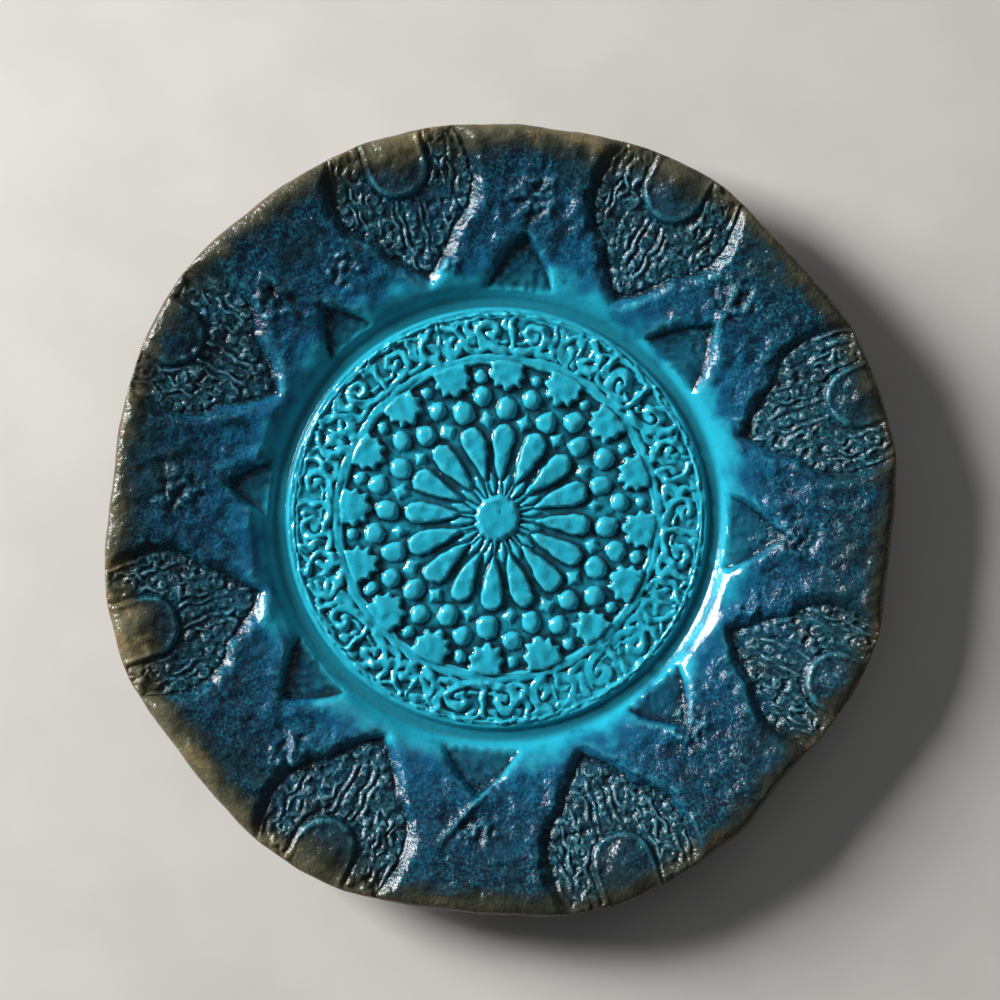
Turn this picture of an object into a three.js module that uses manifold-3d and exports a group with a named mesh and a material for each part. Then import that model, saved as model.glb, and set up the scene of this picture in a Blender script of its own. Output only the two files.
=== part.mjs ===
// A round decorative plate of pressed and glazed clay, lying face up on its foot ring.
// Its well holds a raised medallion: a rosette of petals, knobs and stars inside a scroll band.
// Eight leaf-shaped stamps and eight pointed arches are pressed into the broad rim,
// and the outer edge is uneven, as the hand left it.
// Millimetres, +Z up, the origin on the table under the middle of the plate's outline.

import * as THREE from 'three';
import { mergeVertices } from 'three/addons/utils/BufferGeometryUtils.js';
import Module from 'manifold-3d';

const wasm = await Module();
wasm.setup();

// Dish
const rimRadius = 150;
const rimThickness = 9;
const edgeRound = 4.5;
const edgeHeight = 28.5;
const shoulderRadius = 90.5;
const shoulderHeight = 18;
const shoulderRound = 2.4;
const wellRadius = 84.5;
const wellFloor = 12;
const footOuterRadius = 72;
const footWidth = 9;
const footHeight = 3.8;
const footDraft = 1.4;
const latheSides = 56;
const edgeSteps = 4;

// The shoulder's rounding: how far in and down its corners lie, as shares of shoulderRound.
const shoulderDrop = 0.12;
const shoulderInset = 0.7;
const shoulderFall = 0.6;

// Medallion
const grooveWidth = 4.2;
const borderWidth = 2.8;
const borderLift = 2.4;
const borderChamfer = 0.7;
const fieldLift = 1;
const ringShare = 0.757;
const ringWidth = 2;
const ringLift = 1.3;
const rosetteLift = 2.2;
const scrollLift = 1.5;
const rosetteTurn = 85.5;
const petalCount = 16;
const scrollCount = 8;
const rootDepth = 0.2;
const knobTaper = 1;
const rosetteTaper = 0.8;
const kiteShare = 0.8;
const beadShare = 0.7;
const bossTaper = 1.4;
const scrollTaper = 0.45;

// Pressed shapes
const stampDepth = 3;
const stampSlant = 2;
const tongueRadius = 11.4;
const archDepth = 2.6;
const archSlant = 1.1;
const archLip = 0.3;
const archBaseShare = 0.25;
const overlap = 1;

// The leaf stamps: the angle of each one's axis, and its tip and the end of the tongue
// left standing in it, as shares of the rim's width from the shoulder out.
const leafStamps = [
  { angle: 18.5, tip: 0.126, tongue: 0.696 },
  { angle: 61.5, tip: 0.062, tongue: 0.65 },
  { angle: 106, tip: 0.062, tongue: 0.605 },
  { angle: 150.5, tip: 0.094, tongue: 0.65 },
  { angle: 197.5, tip: 0.057, tongue: 0.605 },
  { angle: 242.5, tip: 0.057, tongue: 0.65 },
  { angle: 290, tip: 0.076, tongue: 0.612 },
  { angle: 334, tip: 0.126, tongue: 0.676 },
];

// The medallion's shapes, one side of each from its inner end out,
// as hundredths of the medallion's radius.
const petalSide = [[0, 21.6], [1.9, 23], [3.1, 28], [3.9, 35.5], [3.4, 41.5], [1.6, 43.8], [0, 44.2]];
const starSide = [[0, 59.5], [6.3, 63.2], [5.2, 66.4], [6.8, 69.2], [6.6, 72.4]];
const knobSide = [[2.8, 47.8], [4.1, 51.6], [2.8, 55.2], [0, 57.4]];
const stemSide = [[2.2, 77.8], [1.3, 88], [1.9, 95.2]];
const heartSide = [[0, 79], [2.5, 83], [2.3, 87], [0, 93]];
const bossRadii = [11.4, 10.2];
const kiteShape = { middle: 46.8, radius: 2.7, corners: 4, stretch: 1.15 };
const outerKnobShape = { middle: 58.2, radius: 4.1, corners: 6, stretch: 1 };
const beadShape = { middle: 68.6, radius: 2.6, corners: 5, stretch: 1 };

// The scroll band's ribbons: angles from the stem in degrees and hundredths of the radius.
const hookPath = [[1.8, 78.6], [6.2, 80.4], [9.9, 83.2], [10.6, 88], [8.9, 91.6], [6.2, 90.8], [5.4, 87]];
const hookHalf = 1.25;
const hookKnobHalf = 1.7;
const bladePath = [[19.6, 78.8], [16.3, 82], [15.7, 87], [17.8, 91.2], [20.4, 93.8]];
const bladeHalf = 1.15;

// The pointed arches: the angle of each one's axis, and its tip and half its base
// as shares of the rim's width.
const arches = [
  { angle: 41.5, tip: 0.318, half: 0.225 },
  { angle: 84.5, tip: 0.286, half: 0.207 },
  { angle: 129.5, tip: 0.203, half: 0.168 },
  { angle: 172.5, tip: 0.203, half: 0.168 },
  { angle: 220, tip: 0.254, half: 0.218 },
  { angle: 266, tip: 0.242, half: 0.232 },
  { angle: 312.3, tip: 0.254, half: 0.207 },
  { angle: 356.5, tip: 0.299, half: 0.232 },
];

// The outer edge swings in and out: the angle of each extreme and its distance from rimRadius.
const edgeSwings = [
  [13, 2.8], [26, 2.6], [42, -0.4], [58, 1.8], [84, -0.8], [104, 0.5], [127, -0.2], [142, 0.9], [175, -3.7],
  [193, 1], [203, 1.9], [217, -0.8], [241, 2.7], [264, -0.6], [287, 3.1], [306, 0.4], [318, -3.7],
  [340, 0.8], [353, -1],
];

// One side of a leaf stamp, from its tip to the notch and on round its lobe, as shares of the
// length that the stamp would have on a rim of its own size.
const leafLower = [[0, 0], [0.11, 0.095], [0.2, 0.2], [0.266, 0.31]];
const leafLobe = [
  [0.266, 0.31], [0.352, 0.362], [0.436, 0.46], [0.48, 0.58], [0.494, 0.7], [0.482, 0.84], [0.44, 1.0],
];
const leafShare = 0.94;

// One side of an arch, from its base to its tip, as shares of half its base and of its height.
const archSide = [[1, 0], [0.66, 0.46], [0.22, 0.86], [0, 1]];

const rimWidth = rimRadius - shoulderRadius;
const rimSlope = (edgeHeight - shoulderHeight) / (rimWidth - edgeRound);
const medallionRadius = wellRadius - grooveWidth;
const fieldHeight = wellFloor + fieldLift;
const borderHeight = wellFloor + borderLift;
const unit = medallionRadius / 100;
const degree = Math.PI / 180;
const fullTurn = 360;
const cornerGap = 1e-4;
const onAxis = 1e-6;

/** Height of the rim's upper face at a distance from the plate's middle. */
function rimTop(radius) {
  return shoulderHeight + (radius - shoulderRadius) * rimSlope;
}

/** Distance of the outer edge from rimRadius at an angle, blended from swing to swing. */
function edgeOffset(angle) {
  const next = edgeSwings.findIndex(([at]) => at > angle);
  const after = next < 0 ? [edgeSwings[0][0] + fullTurn, edgeSwings[0][1]] : edgeSwings[next];
  const last = edgeSwings[edgeSwings.length - 1];
  const before = next > 0 ? edgeSwings[next - 1] : next < 0 ? last : [last[0] - fullTurn, last[1]];
  const share = (angle - before[0]) / (after[0] - before[0]);
  const blend = (1 - Math.cos(share * Math.PI)) / 2;
  return before[1] + (after[1] - before[1]) * blend;
}

/** A copy of a geometry with only its positions, its shared corners merged. */
function mergedCopy(geometry) {
  const bare = geometry.clone();
  bare.deleteAttribute('normal');
  bare.deleteAttribute('uv');
  return mergeVertices(bare, cornerGap);
}

/** Make a closed geometry a solid, without the empty triangles at its poles. */
function toSolid(geometry) {
  const merged = mergedCopy(geometry);
  const corners = merged.index.array;
  const kept = [];
  for (let i = 0; i < corners.length; i += 3) {
    const [a, b, c] = corners.slice(i, i + 3);
    if (a !== b && b !== c && c !== a) kept.push(a, b, c);
  }
  const vertProperties = new Float32Array(merged.getAttribute('position').array);
  return new wasm.Manifold(new wasm.Mesh({ numProp: 3, vertProperties, triVerts: new Uint32Array(kept) }));
}

/** Turn a solid back into a three.js geometry. */
function toGeometry(solid) {
  const mesh = solid.getMesh();
  const geometry = new THREE.BufferGeometry();
  geometry.setAttribute('position', new THREE.BufferAttribute(new Float32Array(mesh.vertProperties), 3));
  geometry.setIndex(new THREE.BufferAttribute(new Uint32Array(mesh.triVerts), 1));
  geometry.computeVertexNormals();
  return geometry;
}

/** Points of a smooth curve through the given [x, y] pairs. */
function smooth(pairs, steps) {
  return new THREE.SplineCurve(pairs.map(([x, y]) => new THREE.Vector2(x, y))).getPoints(steps);
}

/** A point at an angle in degrees from the local +Y axis, clockwise, and at a radius. */
function polar(angle, radius) {
  return new THREE.Vector2(radius * Math.sin(angle * degree), radius * Math.cos(angle * degree));
}

/** A closed outline from its right side, which starts and ends on or beside the +Y axis. */
function mirrored(rightSide) {
  const offAxis = rightSide.filter((point) => point.x > onAxis);
  const leftSide = offAxis.map((point) => new THREE.Vector2(-point.x, point.y));
  return [...rightSide, ...leftSide.reverse()];
}

/** A closed outline from one side of it, given in hundredths of the medallion's radius. */
function medallionShape(side) {
  return mirrored(side.map(([u, v]) => new THREE.Vector2(u * unit, v * unit)));
}

/** A regular outline round a place on the +Y axis, with its first corner on the outer side. */
function polygon({ middle, radius, corners, stretch }) {
  return Array.from({ length: corners }, (_, i) => {
    const at = (i / corners) * 2 * Math.PI;
    const outward = middle + stretch * radius * Math.cos(at);
    return new THREE.Vector2(radius * Math.sin(at) * unit, outward * unit);
  });
}

/** The outline of a ribbon along a centre line, with its half width at each point. */
function ribbon(line, halfWidths) {
  const left = [];
  const right = [];
  line.forEach((point, i) => {
    const before = line[Math.max(i - 1, 0)];
    const after = line[Math.min(i + 1, line.length - 1)];
    const along = after.clone().sub(before).normalize();
    const across = new THREE.Vector2(-along.y, along.x).multiplyScalar(halfWidths[i]);
    left.push(point.clone().add(across));
    right.push(point.clone().sub(across));
  });
  return [...left, ...right.reverse()];
}

/** A plug standing on z = 0 with its outline there, narrower by `taper` at its top. */
function raised(outline, rise, taper) {
  const geometry = new THREE.ExtrudeGeometry(new THREE.Shape(outline), {
    depth: rootDepth,
    bevelEnabled: true,
    bevelThickness: rise,
    bevelSize: taper,
    bevelOffset: -taper,
    bevelSegments: 1,
    curveSegments: 1,
  });
  return geometry.translate(0, 0, -rootDepth);
}

/** A cutter with its floor at z = 0, reaching its full outline at `depth` and going on up. */
function pressed(outline, depth, slant, headroom) {
  const geometry = new THREE.ExtrudeGeometry(new THREE.Shape(outline), {
    depth: headroom,
    bevelEnabled: true,
    bevelThickness: depth,
    bevelSize: slant,
    bevelOffset: -slant,
    bevelSegments: 1,
    curveSegments: 1,
  });
  return geometry.translate(0, 0, depth);
}

/** The turned body of the plate, with its outer edge swung in and out. */
function dish() {
  const edgeCentre = rimRadius - edgeRound;
  const edgeHalf = rimThickness / 2;
  const under = (radius) => [radius, rimTop(radius) - rimThickness];
  const edge = [];
  for (let i = 0; i <= edgeSteps; i += 1) {
    const at = (i / edgeSteps - 0.5) * Math.PI;
    edge.push([edgeCentre + edgeRound * Math.cos(at), edgeHeight - edgeHalf + edgeHalf * Math.sin(at)]);
  }
  const ringMiddle = medallionRadius * ringShare;
  const profile = [
    [0, footHeight],
    [footOuterRadius - footWidth - footDraft, footHeight],
    [footOuterRadius - footWidth, 0],
    [footOuterRadius, 0],
    [footOuterRadius + footDraft, footHeight],
    under(shoulderRadius + rimThickness / 2),
    ...edge,
    [shoulderRadius + shoulderRound, rimTop(shoulderRadius + shoulderRound)],
    [shoulderRadius, shoulderHeight - shoulderRound * shoulderDrop],
    [shoulderRadius - shoulderRound * shoulderInset, shoulderHeight - shoulderRound * shoulderFall],
    [wellRadius, wellFloor],
    [medallionRadius + borderChamfer, wellFloor],
    [medallionRadius, borderHeight - borderChamfer],
    [medallionRadius - borderChamfer, borderHeight],
    [medallionRadius - borderWidth, borderHeight],
    [medallionRadius - borderWidth - borderChamfer, fieldHeight],
    [ringMiddle + ringWidth / 2, fieldHeight],
    [ringMiddle, fieldHeight + ringLift],
    [ringMiddle - ringWidth / 2, fieldHeight],
    [0, fieldHeight],
  ];
  const points = profile.map(([radius, height]) => new THREE.Vector2(radius, height));
  const geometry = mergedCopy(new THREE.LatheGeometry(points, latheSides).rotateX(Math.PI / 2));
  const position = geometry.getAttribute('position');
  for (let i = 0; i < position.count; i += 1) {
    const radius = Math.hypot(position.getX(i), position.getY(i));
    if (radius <= shoulderRadius) continue;
    const angle = (Math.atan2(position.getY(i), position.getX(i)) / degree + fullTurn) % fullTurn;
    const wanted = radius + edgeOffset(angle) * ((radius - shoulderRadius) / rimWidth);
    position.setXY(i, (position.getX(i) * wanted) / radius, (position.getY(i) * wanted) / radius);
  }
  return toSolid(geometry);
}

/** Place a cutter drawn from its inner end along +Y, with its floor sloping up by `slope`. */
function placeOnRim(geometry, angle, radius, height, slope) {
  geometry.rotateX(Math.atan(slope));
  geometry.translate(0, radius, height);
  geometry.rotateZ((angle - 90) * degree);
  return toSolid(geometry);
}

/** A leaf-shaped stamp, open at the plate's edge, with the tongue left out of it. */
function leafCutter({ angle, tip, tongue }) {
  const length = rimWidth * leafShare;
  const tipRadius = shoulderRadius + tip * rimWidth;
  const past = rimRadius + 2 * edgeRound - tipRadius;
  const tongueCentre = (tongue - tip) * rimWidth + tongueRadius;
  const scaled = (pairs) => pairs.map(([u, v]) => [u * length, v * length]);
  const lower = smooth(scaled(leafLower), 3);
  const lobe = smooth(scaled(leafLobe), 6);
  const lobeEnd = lobe[lobe.length - 1];
  const tongueSteps = 4;
  const round = [];
  for (let i = 0; i <= tongueSteps; i += 1) {
    const at = (i / tongueSteps) * (Math.PI / 2);
    round.push(new THREE.Vector2(tongueRadius * Math.cos(at), tongueCentre - tongueRadius * Math.sin(at)));
  }
  const corners = [
    new THREE.Vector2(lobeEnd.x, Math.max(past, lobeEnd.y + overlap)),
    new THREE.Vector2(tongueRadius, Math.max(past, lobeEnd.y + overlap)),
  ];
  const outline = mirrored([...lower, ...lobe.slice(1), ...corners, ...round]);
  const cutter = pressed(outline, stampDepth, stampSlant, rimThickness);
  return placeOnRim(cutter, angle, tipRadius, rimTop(tipRadius) - stampDepth, rimSlope);
}

/** A pointed arch whose floor runs out at the shoulder and is deepest at its tip. */
function archCutter({ angle, tip, half }) {
  const height = tip * rimWidth + shoulderRound;
  const base = half * rimWidth;
  const right = smooth(archSide.map(([u, v]) => [u * base, v * height]), 5);
  const start = shoulderRadius - shoulderRound;
  const floorAtBase = shoulderHeight - archLip - archDepth * archBaseShare;
  const floorAtTip = rimTop(start + height) - archDepth;
  const slope = (floorAtTip - floorAtBase) / height;
  const cutter = pressed(mirrored(right), archDepth, archSlant, rimThickness);
  return placeOnRim(cutter, angle, start, floorAtBase, slope);
}

/** Copies of one raised piece round the medallion, each a solid. */
function around(outline, rise, taper, count, firstAngle) {
  const piece = raised(outline, rise, taper).translate(0, 0, fieldHeight);
  return Array.from({ length: count }, (_, i) => {
    const turn = (firstAngle - 90 + (i * fullTurn) / count) * degree;
    return toSolid(piece.clone().rotateZ(turn));
  });
}

/** The rosette: boss, petals, kites, two rings of knobs, half stars and beads. */
function rosette() {
  const step = fullTurn / petalCount;
  const scaled = petalSide.map(([u, v]) => [u * unit, v * unit]);
  const petal = mirrored(smooth(scaled, 6));
  const boss = Array.from({ length: 2 * petalCount }, (_, i) => {
    const at = (i / petalCount) * Math.PI;
    const radius = bossRadii[i % 2] * unit;
    return new THREE.Vector2(radius * Math.sin(at), radius * Math.cos(at));
  });
  const between = rosetteTurn + step / 2;
  return [
    ...around(boss, rosetteLift, bossTaper, 1, between),
    ...around(petal, rosetteLift, rosetteTaper, petalCount, rosetteTurn),
    ...around(polygon(kiteShape), rosetteLift * kiteShare, rosetteTaper, petalCount, between),
    ...around(medallionShape(knobSide), rosetteLift, knobTaper, petalCount, rosetteTurn),
    ...around(polygon(outerKnobShape), rosetteLift, knobTaper, petalCount, between),
    ...around(medallionShape(starSide), rosetteLift, rosetteTaper, petalCount, rosetteTurn),
    ...around(polygon(beadShape), rosetteLift * beadShare, rosetteTaper, petalCount, between),
  ];
}

/** A ribbon's outline through polar points, the half width given at each of them. */
function bandRibbon(path, steps, halfAt) {
  const line = smooth(path.map(([angle, radius]) => polar(angle, radius * unit).toArray()), steps);
  return ribbon(line, line.map((_, i) => halfAt(i, line.length) * unit));
}

/** The scroll band: stems, a hooked scroll on each side of them, and pointed leaves between. */
function scrollBand() {
  const hook = bandRibbon(hookPath, 6, (i, count) => (i > count - 3 ? hookKnobHalf : hookHalf));
  const blade = bandRibbon(bladePath, 4, () => bladeHalf);
  const flipped = (outline) => outline.map((point) => new THREE.Vector2(-point.x, point.y)).reverse();
  const between = rosetteTurn + fullTurn / scrollCount / 2;
  return [
    ...around(medallionShape(stemSide), scrollLift, scrollTaper, scrollCount, rosetteTurn),
    ...around(hook, scrollLift, scrollTaper, scrollCount, rosetteTurn),
    ...around(flipped(hook), scrollLift, scrollTaper, scrollCount, rosetteTurn),
    ...around(blade, scrollLift, scrollTaper, scrollCount, rosetteTurn),
    ...around(flipped(blade), scrollLift, scrollTaper, scrollCount, rosetteTurn),
    ...around(medallionShape(heartSide), scrollLift, scrollTaper, scrollCount, between),
  ];
}

/** The whole plate as one solid. */
function plateSolid() {
  const cutters = [...leafStamps.map(leafCutter), ...arches.map(archCutter)];
  const reliefs = [...rosette(), ...scrollBand()];
  const cut = cutters.reduce((body, cutter) => body.subtract(cutter), dish());
  return reliefs.reduce((body, relief) => body.add(relief), cut);
}

/** Move a geometry so that the middle of its outline lies on the Z axis. */
function centred(geometry) {
  geometry.computeBoundingBox();
  const middle = geometry.boundingBox.getCenter(new THREE.Vector3());
  return geometry.translate(-middle.x, -middle.y, 0);
}

const glaze = new THREE.MeshStandardMaterial({ color: 0x1b6f86, roughness: 0.32, metalness: 0 });
const plate = new THREE.Mesh(centred(toGeometry(plateSolid())), glaze);
plate.name = 'plate';

const group = new THREE.Group();
group.add(plate);

export default group;
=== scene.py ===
"""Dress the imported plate: one sculpted body of pressed clay under a running turquoise glaze.

The face is a fine grid pressed into shape with the medallion, the leaf stamps and the arches.
The back is turned from a circle, and the two are joined into one closed mesh.
Lengths are in millimetres until the mesh is scaled to the frame's metres.
"""

import logging
import math
from dataclasses import dataclass, field
from enum import Enum

import bpy
import numpy as np
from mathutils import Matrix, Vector


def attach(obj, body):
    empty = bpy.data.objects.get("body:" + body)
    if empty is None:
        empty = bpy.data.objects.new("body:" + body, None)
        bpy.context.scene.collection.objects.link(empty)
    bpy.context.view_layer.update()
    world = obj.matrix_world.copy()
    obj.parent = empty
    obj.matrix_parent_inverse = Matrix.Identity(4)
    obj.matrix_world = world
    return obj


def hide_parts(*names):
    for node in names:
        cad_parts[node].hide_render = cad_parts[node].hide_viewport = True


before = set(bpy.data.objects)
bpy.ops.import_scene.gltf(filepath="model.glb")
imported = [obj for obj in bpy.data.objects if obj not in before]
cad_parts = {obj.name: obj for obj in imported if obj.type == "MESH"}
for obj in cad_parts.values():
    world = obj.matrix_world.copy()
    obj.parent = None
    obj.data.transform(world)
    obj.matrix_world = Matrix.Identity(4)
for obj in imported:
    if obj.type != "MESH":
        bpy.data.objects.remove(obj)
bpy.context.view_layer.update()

log = logging.getLogger("plate")

Array = np.ndarray
Pairs = tuple[tuple[float, float], ...]
Colour = tuple[float, float, float, float]
Socket = bpy.types.NodeSocket

MILLIMETRE = 0.001
FULL_TURN = 360.0
LATTICE = 256


def blend(low: float, high: float, value: Array) -> Array:
    """Rise smoothly from 0 at `low` to 1 at `high`.

    Args:
        low: Where the rise starts.
        high: Where it ends; below `low` for a fall.
        value: The values to place on it.

    Returns:
        Shares between 0 and 1.
    """
    share = np.clip((value - low) / (high - low), 0.0, 1.0)
    return share * share * (3.0 - 2.0 * share)


def sloped(low: float, high: float, value: Array) -> Array:
    """Rise from 0 to 1 between two values, softly at first and with a crisp end.

    Args:
        low: Where the rise starts.
        high: Where it ends.
        value: Values to rise over.

    Returns:
        A share from 0 to 1.
    """
    return np.clip((value - low) / (high - low), 0.0, 1.0) ** 1.6


def bulge(value: Array, middle: float, width: float) -> Array:
    """Rise to 1 at a value and fall off like a bell on both sides of it.

    Args:
        value: Values to rise over.
        middle: Where it is highest.
        width: How far from there it has fallen to about a third.

    Returns:
        Shares between 0 and 1.
    """
    return np.exp(-(((value - middle) / width) ** 2))


def seen_from(angle: float, start: float, x: Array, y: Array) -> tuple[Array, Array]:
    """Turn places on the plate into places across and outward from a point on one of its rays.

    Args:
        angle: The ray's angle in degrees.
        start: The point's distance from the plate's middle.
        x: Places across the plate.
        y: Places up the plate.

    Returns:
        Places across the ray and outward along it.
    """
    turn = math.radians(angle)
    outward = x * math.cos(turn) + y * math.sin(turn) - start
    across = x * math.sin(turn) - y * math.cos(turn)
    return across, outward


def smooth_line(points: Pairs, steps: int) -> Array:
    """Run a smooth curve through points.

    Args:
        points: The points that it passes, in order.
        steps: Straight stretches between two of them.

    Returns:
        The curve's points, one row each.
    """
    given = np.array(points, float)
    padded = np.vstack((2 * given[0] - given[1], given, 2 * given[-1] - given[-2]))
    share = np.linspace(0.0, 1.0, steps, endpoint=False)[:, None]
    stretches = []
    for before, start, end, after in zip(padded, padded[1:], padded[2:], padded[3:]):
        lean_in = (end - before) / 2
        lean_out = (after - start) / 2
        square, cube = share**2, share**3
        stretches.append(
            (2 * cube - 3 * square + 1) * start
            + (cube - 2 * square + share) * lean_in
            + (3 * square - 2 * cube) * end
            + (cube - square) * lean_out
        )
    return np.vstack((*stretches, given[-1:]))


def depth_on_line(x: Array, y: Array, line: Array, half_widths: Array) -> Array:
    """Measure how far points lie inside a strand drawn along a line.

    Args:
        x: Places across.
        y: Places outward.
        line: The strand's middle, one row for each point.
        half_widths: Half the strand's width at each of them.

    Returns:
        Distance inside the strand's edge, negative outside it.
    """
    depth = np.full(x.shape, -np.inf)
    for (ax, ay), (bx, by), wide, wide_next in zip(line, line[1:], half_widths, half_widths[1:]):
        dx, dy = bx - ax, by - ay
        along = ((x - ax) * dx + (y - ay) * dy) / max(dx * dx + dy * dy, 1e-9)
        along = np.clip(along, 0.0, 1.0)
        gap = np.hypot(x - ax - along * dx, y - ay - along * dy)
        depth = np.maximum(depth, wide + (wide_next - wide) * along - gap)
    return depth


def depth_in_outline(x: Array, y: Array, outline: Array) -> Array:
    """Measure how far points lie inside a closed outline.

    Args:
        x: Places across.
        y: Places outward.
        outline: Its corners in order, one row each.

    Returns:
        Distance inside the outline, negative outside it.
    """
    closed = np.vstack((outline, outline[:1]))
    edge = -depth_on_line(x, y, closed, np.zeros(len(closed)))
    inside = np.zeros(x.shape, bool)
    for (ax, ay), (bx, by) in zip(closed, closed[1:]):
        if ay == by:
            continue
        crosses = (ay > y) != (by > y)
        inside ^= crosses & (x < (bx - ax) * (y - ay) / (by - ay) + ax)
    return np.where(inside, edge, -edge)


def mirrored(right_side: Pairs | Array) -> Array:
    """Close an outline from its right side, which starts and ends on or beside the axis."""
    right = np.array(right_side, float)
    left = right[right[:, 0] > 0] * (-1.0, 1.0)
    return np.vstack((right, left[::-1]))


def ring_of_corners(middle: float, radius: float, count: int, stretch: float = 1.0) -> Array:
    """List a regular outline's corners.

    Args:
        middle: Its centre's distance out.
        radius: Distance of a corner from the centre.
        count: Number of corners.
        stretch: How much longer it is outward than across.

    Returns:
        The corners, the first one outward.
    """
    turn = np.arange(count) / count * 2 * math.pi
    return np.stack((radius * np.sin(turn), middle + stretch * radius * np.cos(turn)), axis=1)


class Noise:
    """Smooth seeded unevenness over a plane, between about -1 and 1."""

    def __init__(self, seed: int) -> None:
        """Draw the lattice of leans.

        Args:
            seed: Number that fixes the draw.
        """
        turn = np.random.default_rng(seed).uniform(0, 2 * math.pi, (LATTICE, LATTICE))
        self.lean_x = np.cos(turn)
        self.lean_y = np.sin(turn)

    def at(self, x: Array, y: Array, size: float) -> Array:
        """Read the unevenness.

        Args:
            x: Places across.
            y: Places outward.
            size: Breadth of one swell, in the same units.

        Returns:
            One value for each place.
        """
        grid_x, grid_y = x / size, y / size
        column, row = np.floor(grid_x).astype(int), np.floor(grid_y).astype(int)
        share_x, share_y = grid_x - column, grid_y - row

        def corner(right: int, up: int) -> Array:
            """Read the lean of one corner of each cell."""
            at = ((column + right) % LATTICE, (row + up) % LATTICE)
            return self.lean_x[at] * (share_x - right) + self.lean_y[at] * (share_y - up)

        fade_x, fade_y = blend(0, 1, share_x), blend(0, 1, share_y)
        low = corner(0, 0) * (1 - fade_x) + corner(1, 0) * fade_x
        high = corner(0, 1) * (1 - fade_x) + corner(1, 1) * fade_x
        return 1.6 * (low * (1 - fade_y) + high * fade_y)


class Crown(Enum):
    """How the top of a raised piece is finished."""

    FLAT = "flat with a soft edge"
    ROUND = "rounded all over"
    PEAK = "faceted to a soft point"


def crowned(depth: Array, crown: Crown, slant: float) -> Array:
    """Turn distance inside an outline into a share of the full rise.

    Args:
        depth: Distance inside the outline.
        crown: The finish of the top.
        slant: Distance over which the side rises.

    Returns:
        Shares of the rise between 0 and 1.
    """
    share = np.clip(depth / slant, 0.0, 1.0)
    if crown is Crown.ROUND:
        return np.sqrt(1.0 - (1.0 - share) ** 2)
    if crown is Crown.PEAK:
        return share * (1.6 - 0.6 * share)
    return blend(-0.15, 1.0, share) ** 0.8


@dataclass
class OuterEdge:
    """The plate's uneven outline, swung in and out of its mean radius."""

    radius: float = 150.0
    still_radius: float = 90.5
    swings: Pairs = (
        (13, 2.8), (26, 2.6), (42, -0.4), (58, 1.8), (84, -0.8), (104, 0.5), (127, -0.2),
        (142, 0.9), (175, -3.7), (193, 1.0), (203, 1.9), (217, -0.8), (241, 2.7), (264, -0.6),
        (287, 3.1), (306, 0.4), (318, -3.7), (340, 0.8), (353, -1),
    )

    def stretch(self, x: Array, y: Array) -> Array:
        """Tell how much the rim is widened at each place, as a share of its width."""
        angle = np.degrees(np.arctan2(y, x)) % FULL_TURN
        at = np.array([swing[0] for swing in self.swings])
        reach = np.array([swing[1] for swing in self.swings])
        at = np.concatenate((at[-1:] - FULL_TURN, at, at[:1] + FULL_TURN))
        reach = np.concatenate((reach[-1:], reach, reach[:1]))
        before = np.clip(np.searchsorted(at, angle, side="right") - 1, 0, len(at) - 2)
        share = (angle - at[before]) / (at[before + 1] - at[before])
        offset = reach[before] + (reach[before + 1] - reach[before]) * blend_cosine(share)
        return offset / (self.radius - self.still_radius)

    def swing(self, x: Array, y: Array) -> tuple[Array, Array]:
        """Move places of a round plate to where the hand left them.

        Args:
            x: Places across on the round plate.
            y: Places up on the round plate.

        Returns:
            The moved places.
        """
        radius = np.maximum(np.hypot(x, y), 1e-9)
        beyond = np.maximum(radius - self.still_radius, 0.0)
        factor = 1.0 + self.stretch(x, y) * beyond / radius
        return x * factor, y * factor


def blend_cosine(share: Array) -> Array:
    """Ease a share from 0 to 1 along half a cosine wave."""
    return (1.0 - np.cos(np.clip(share, 0.0, 1.0) * math.pi)) / 2.0


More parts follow.
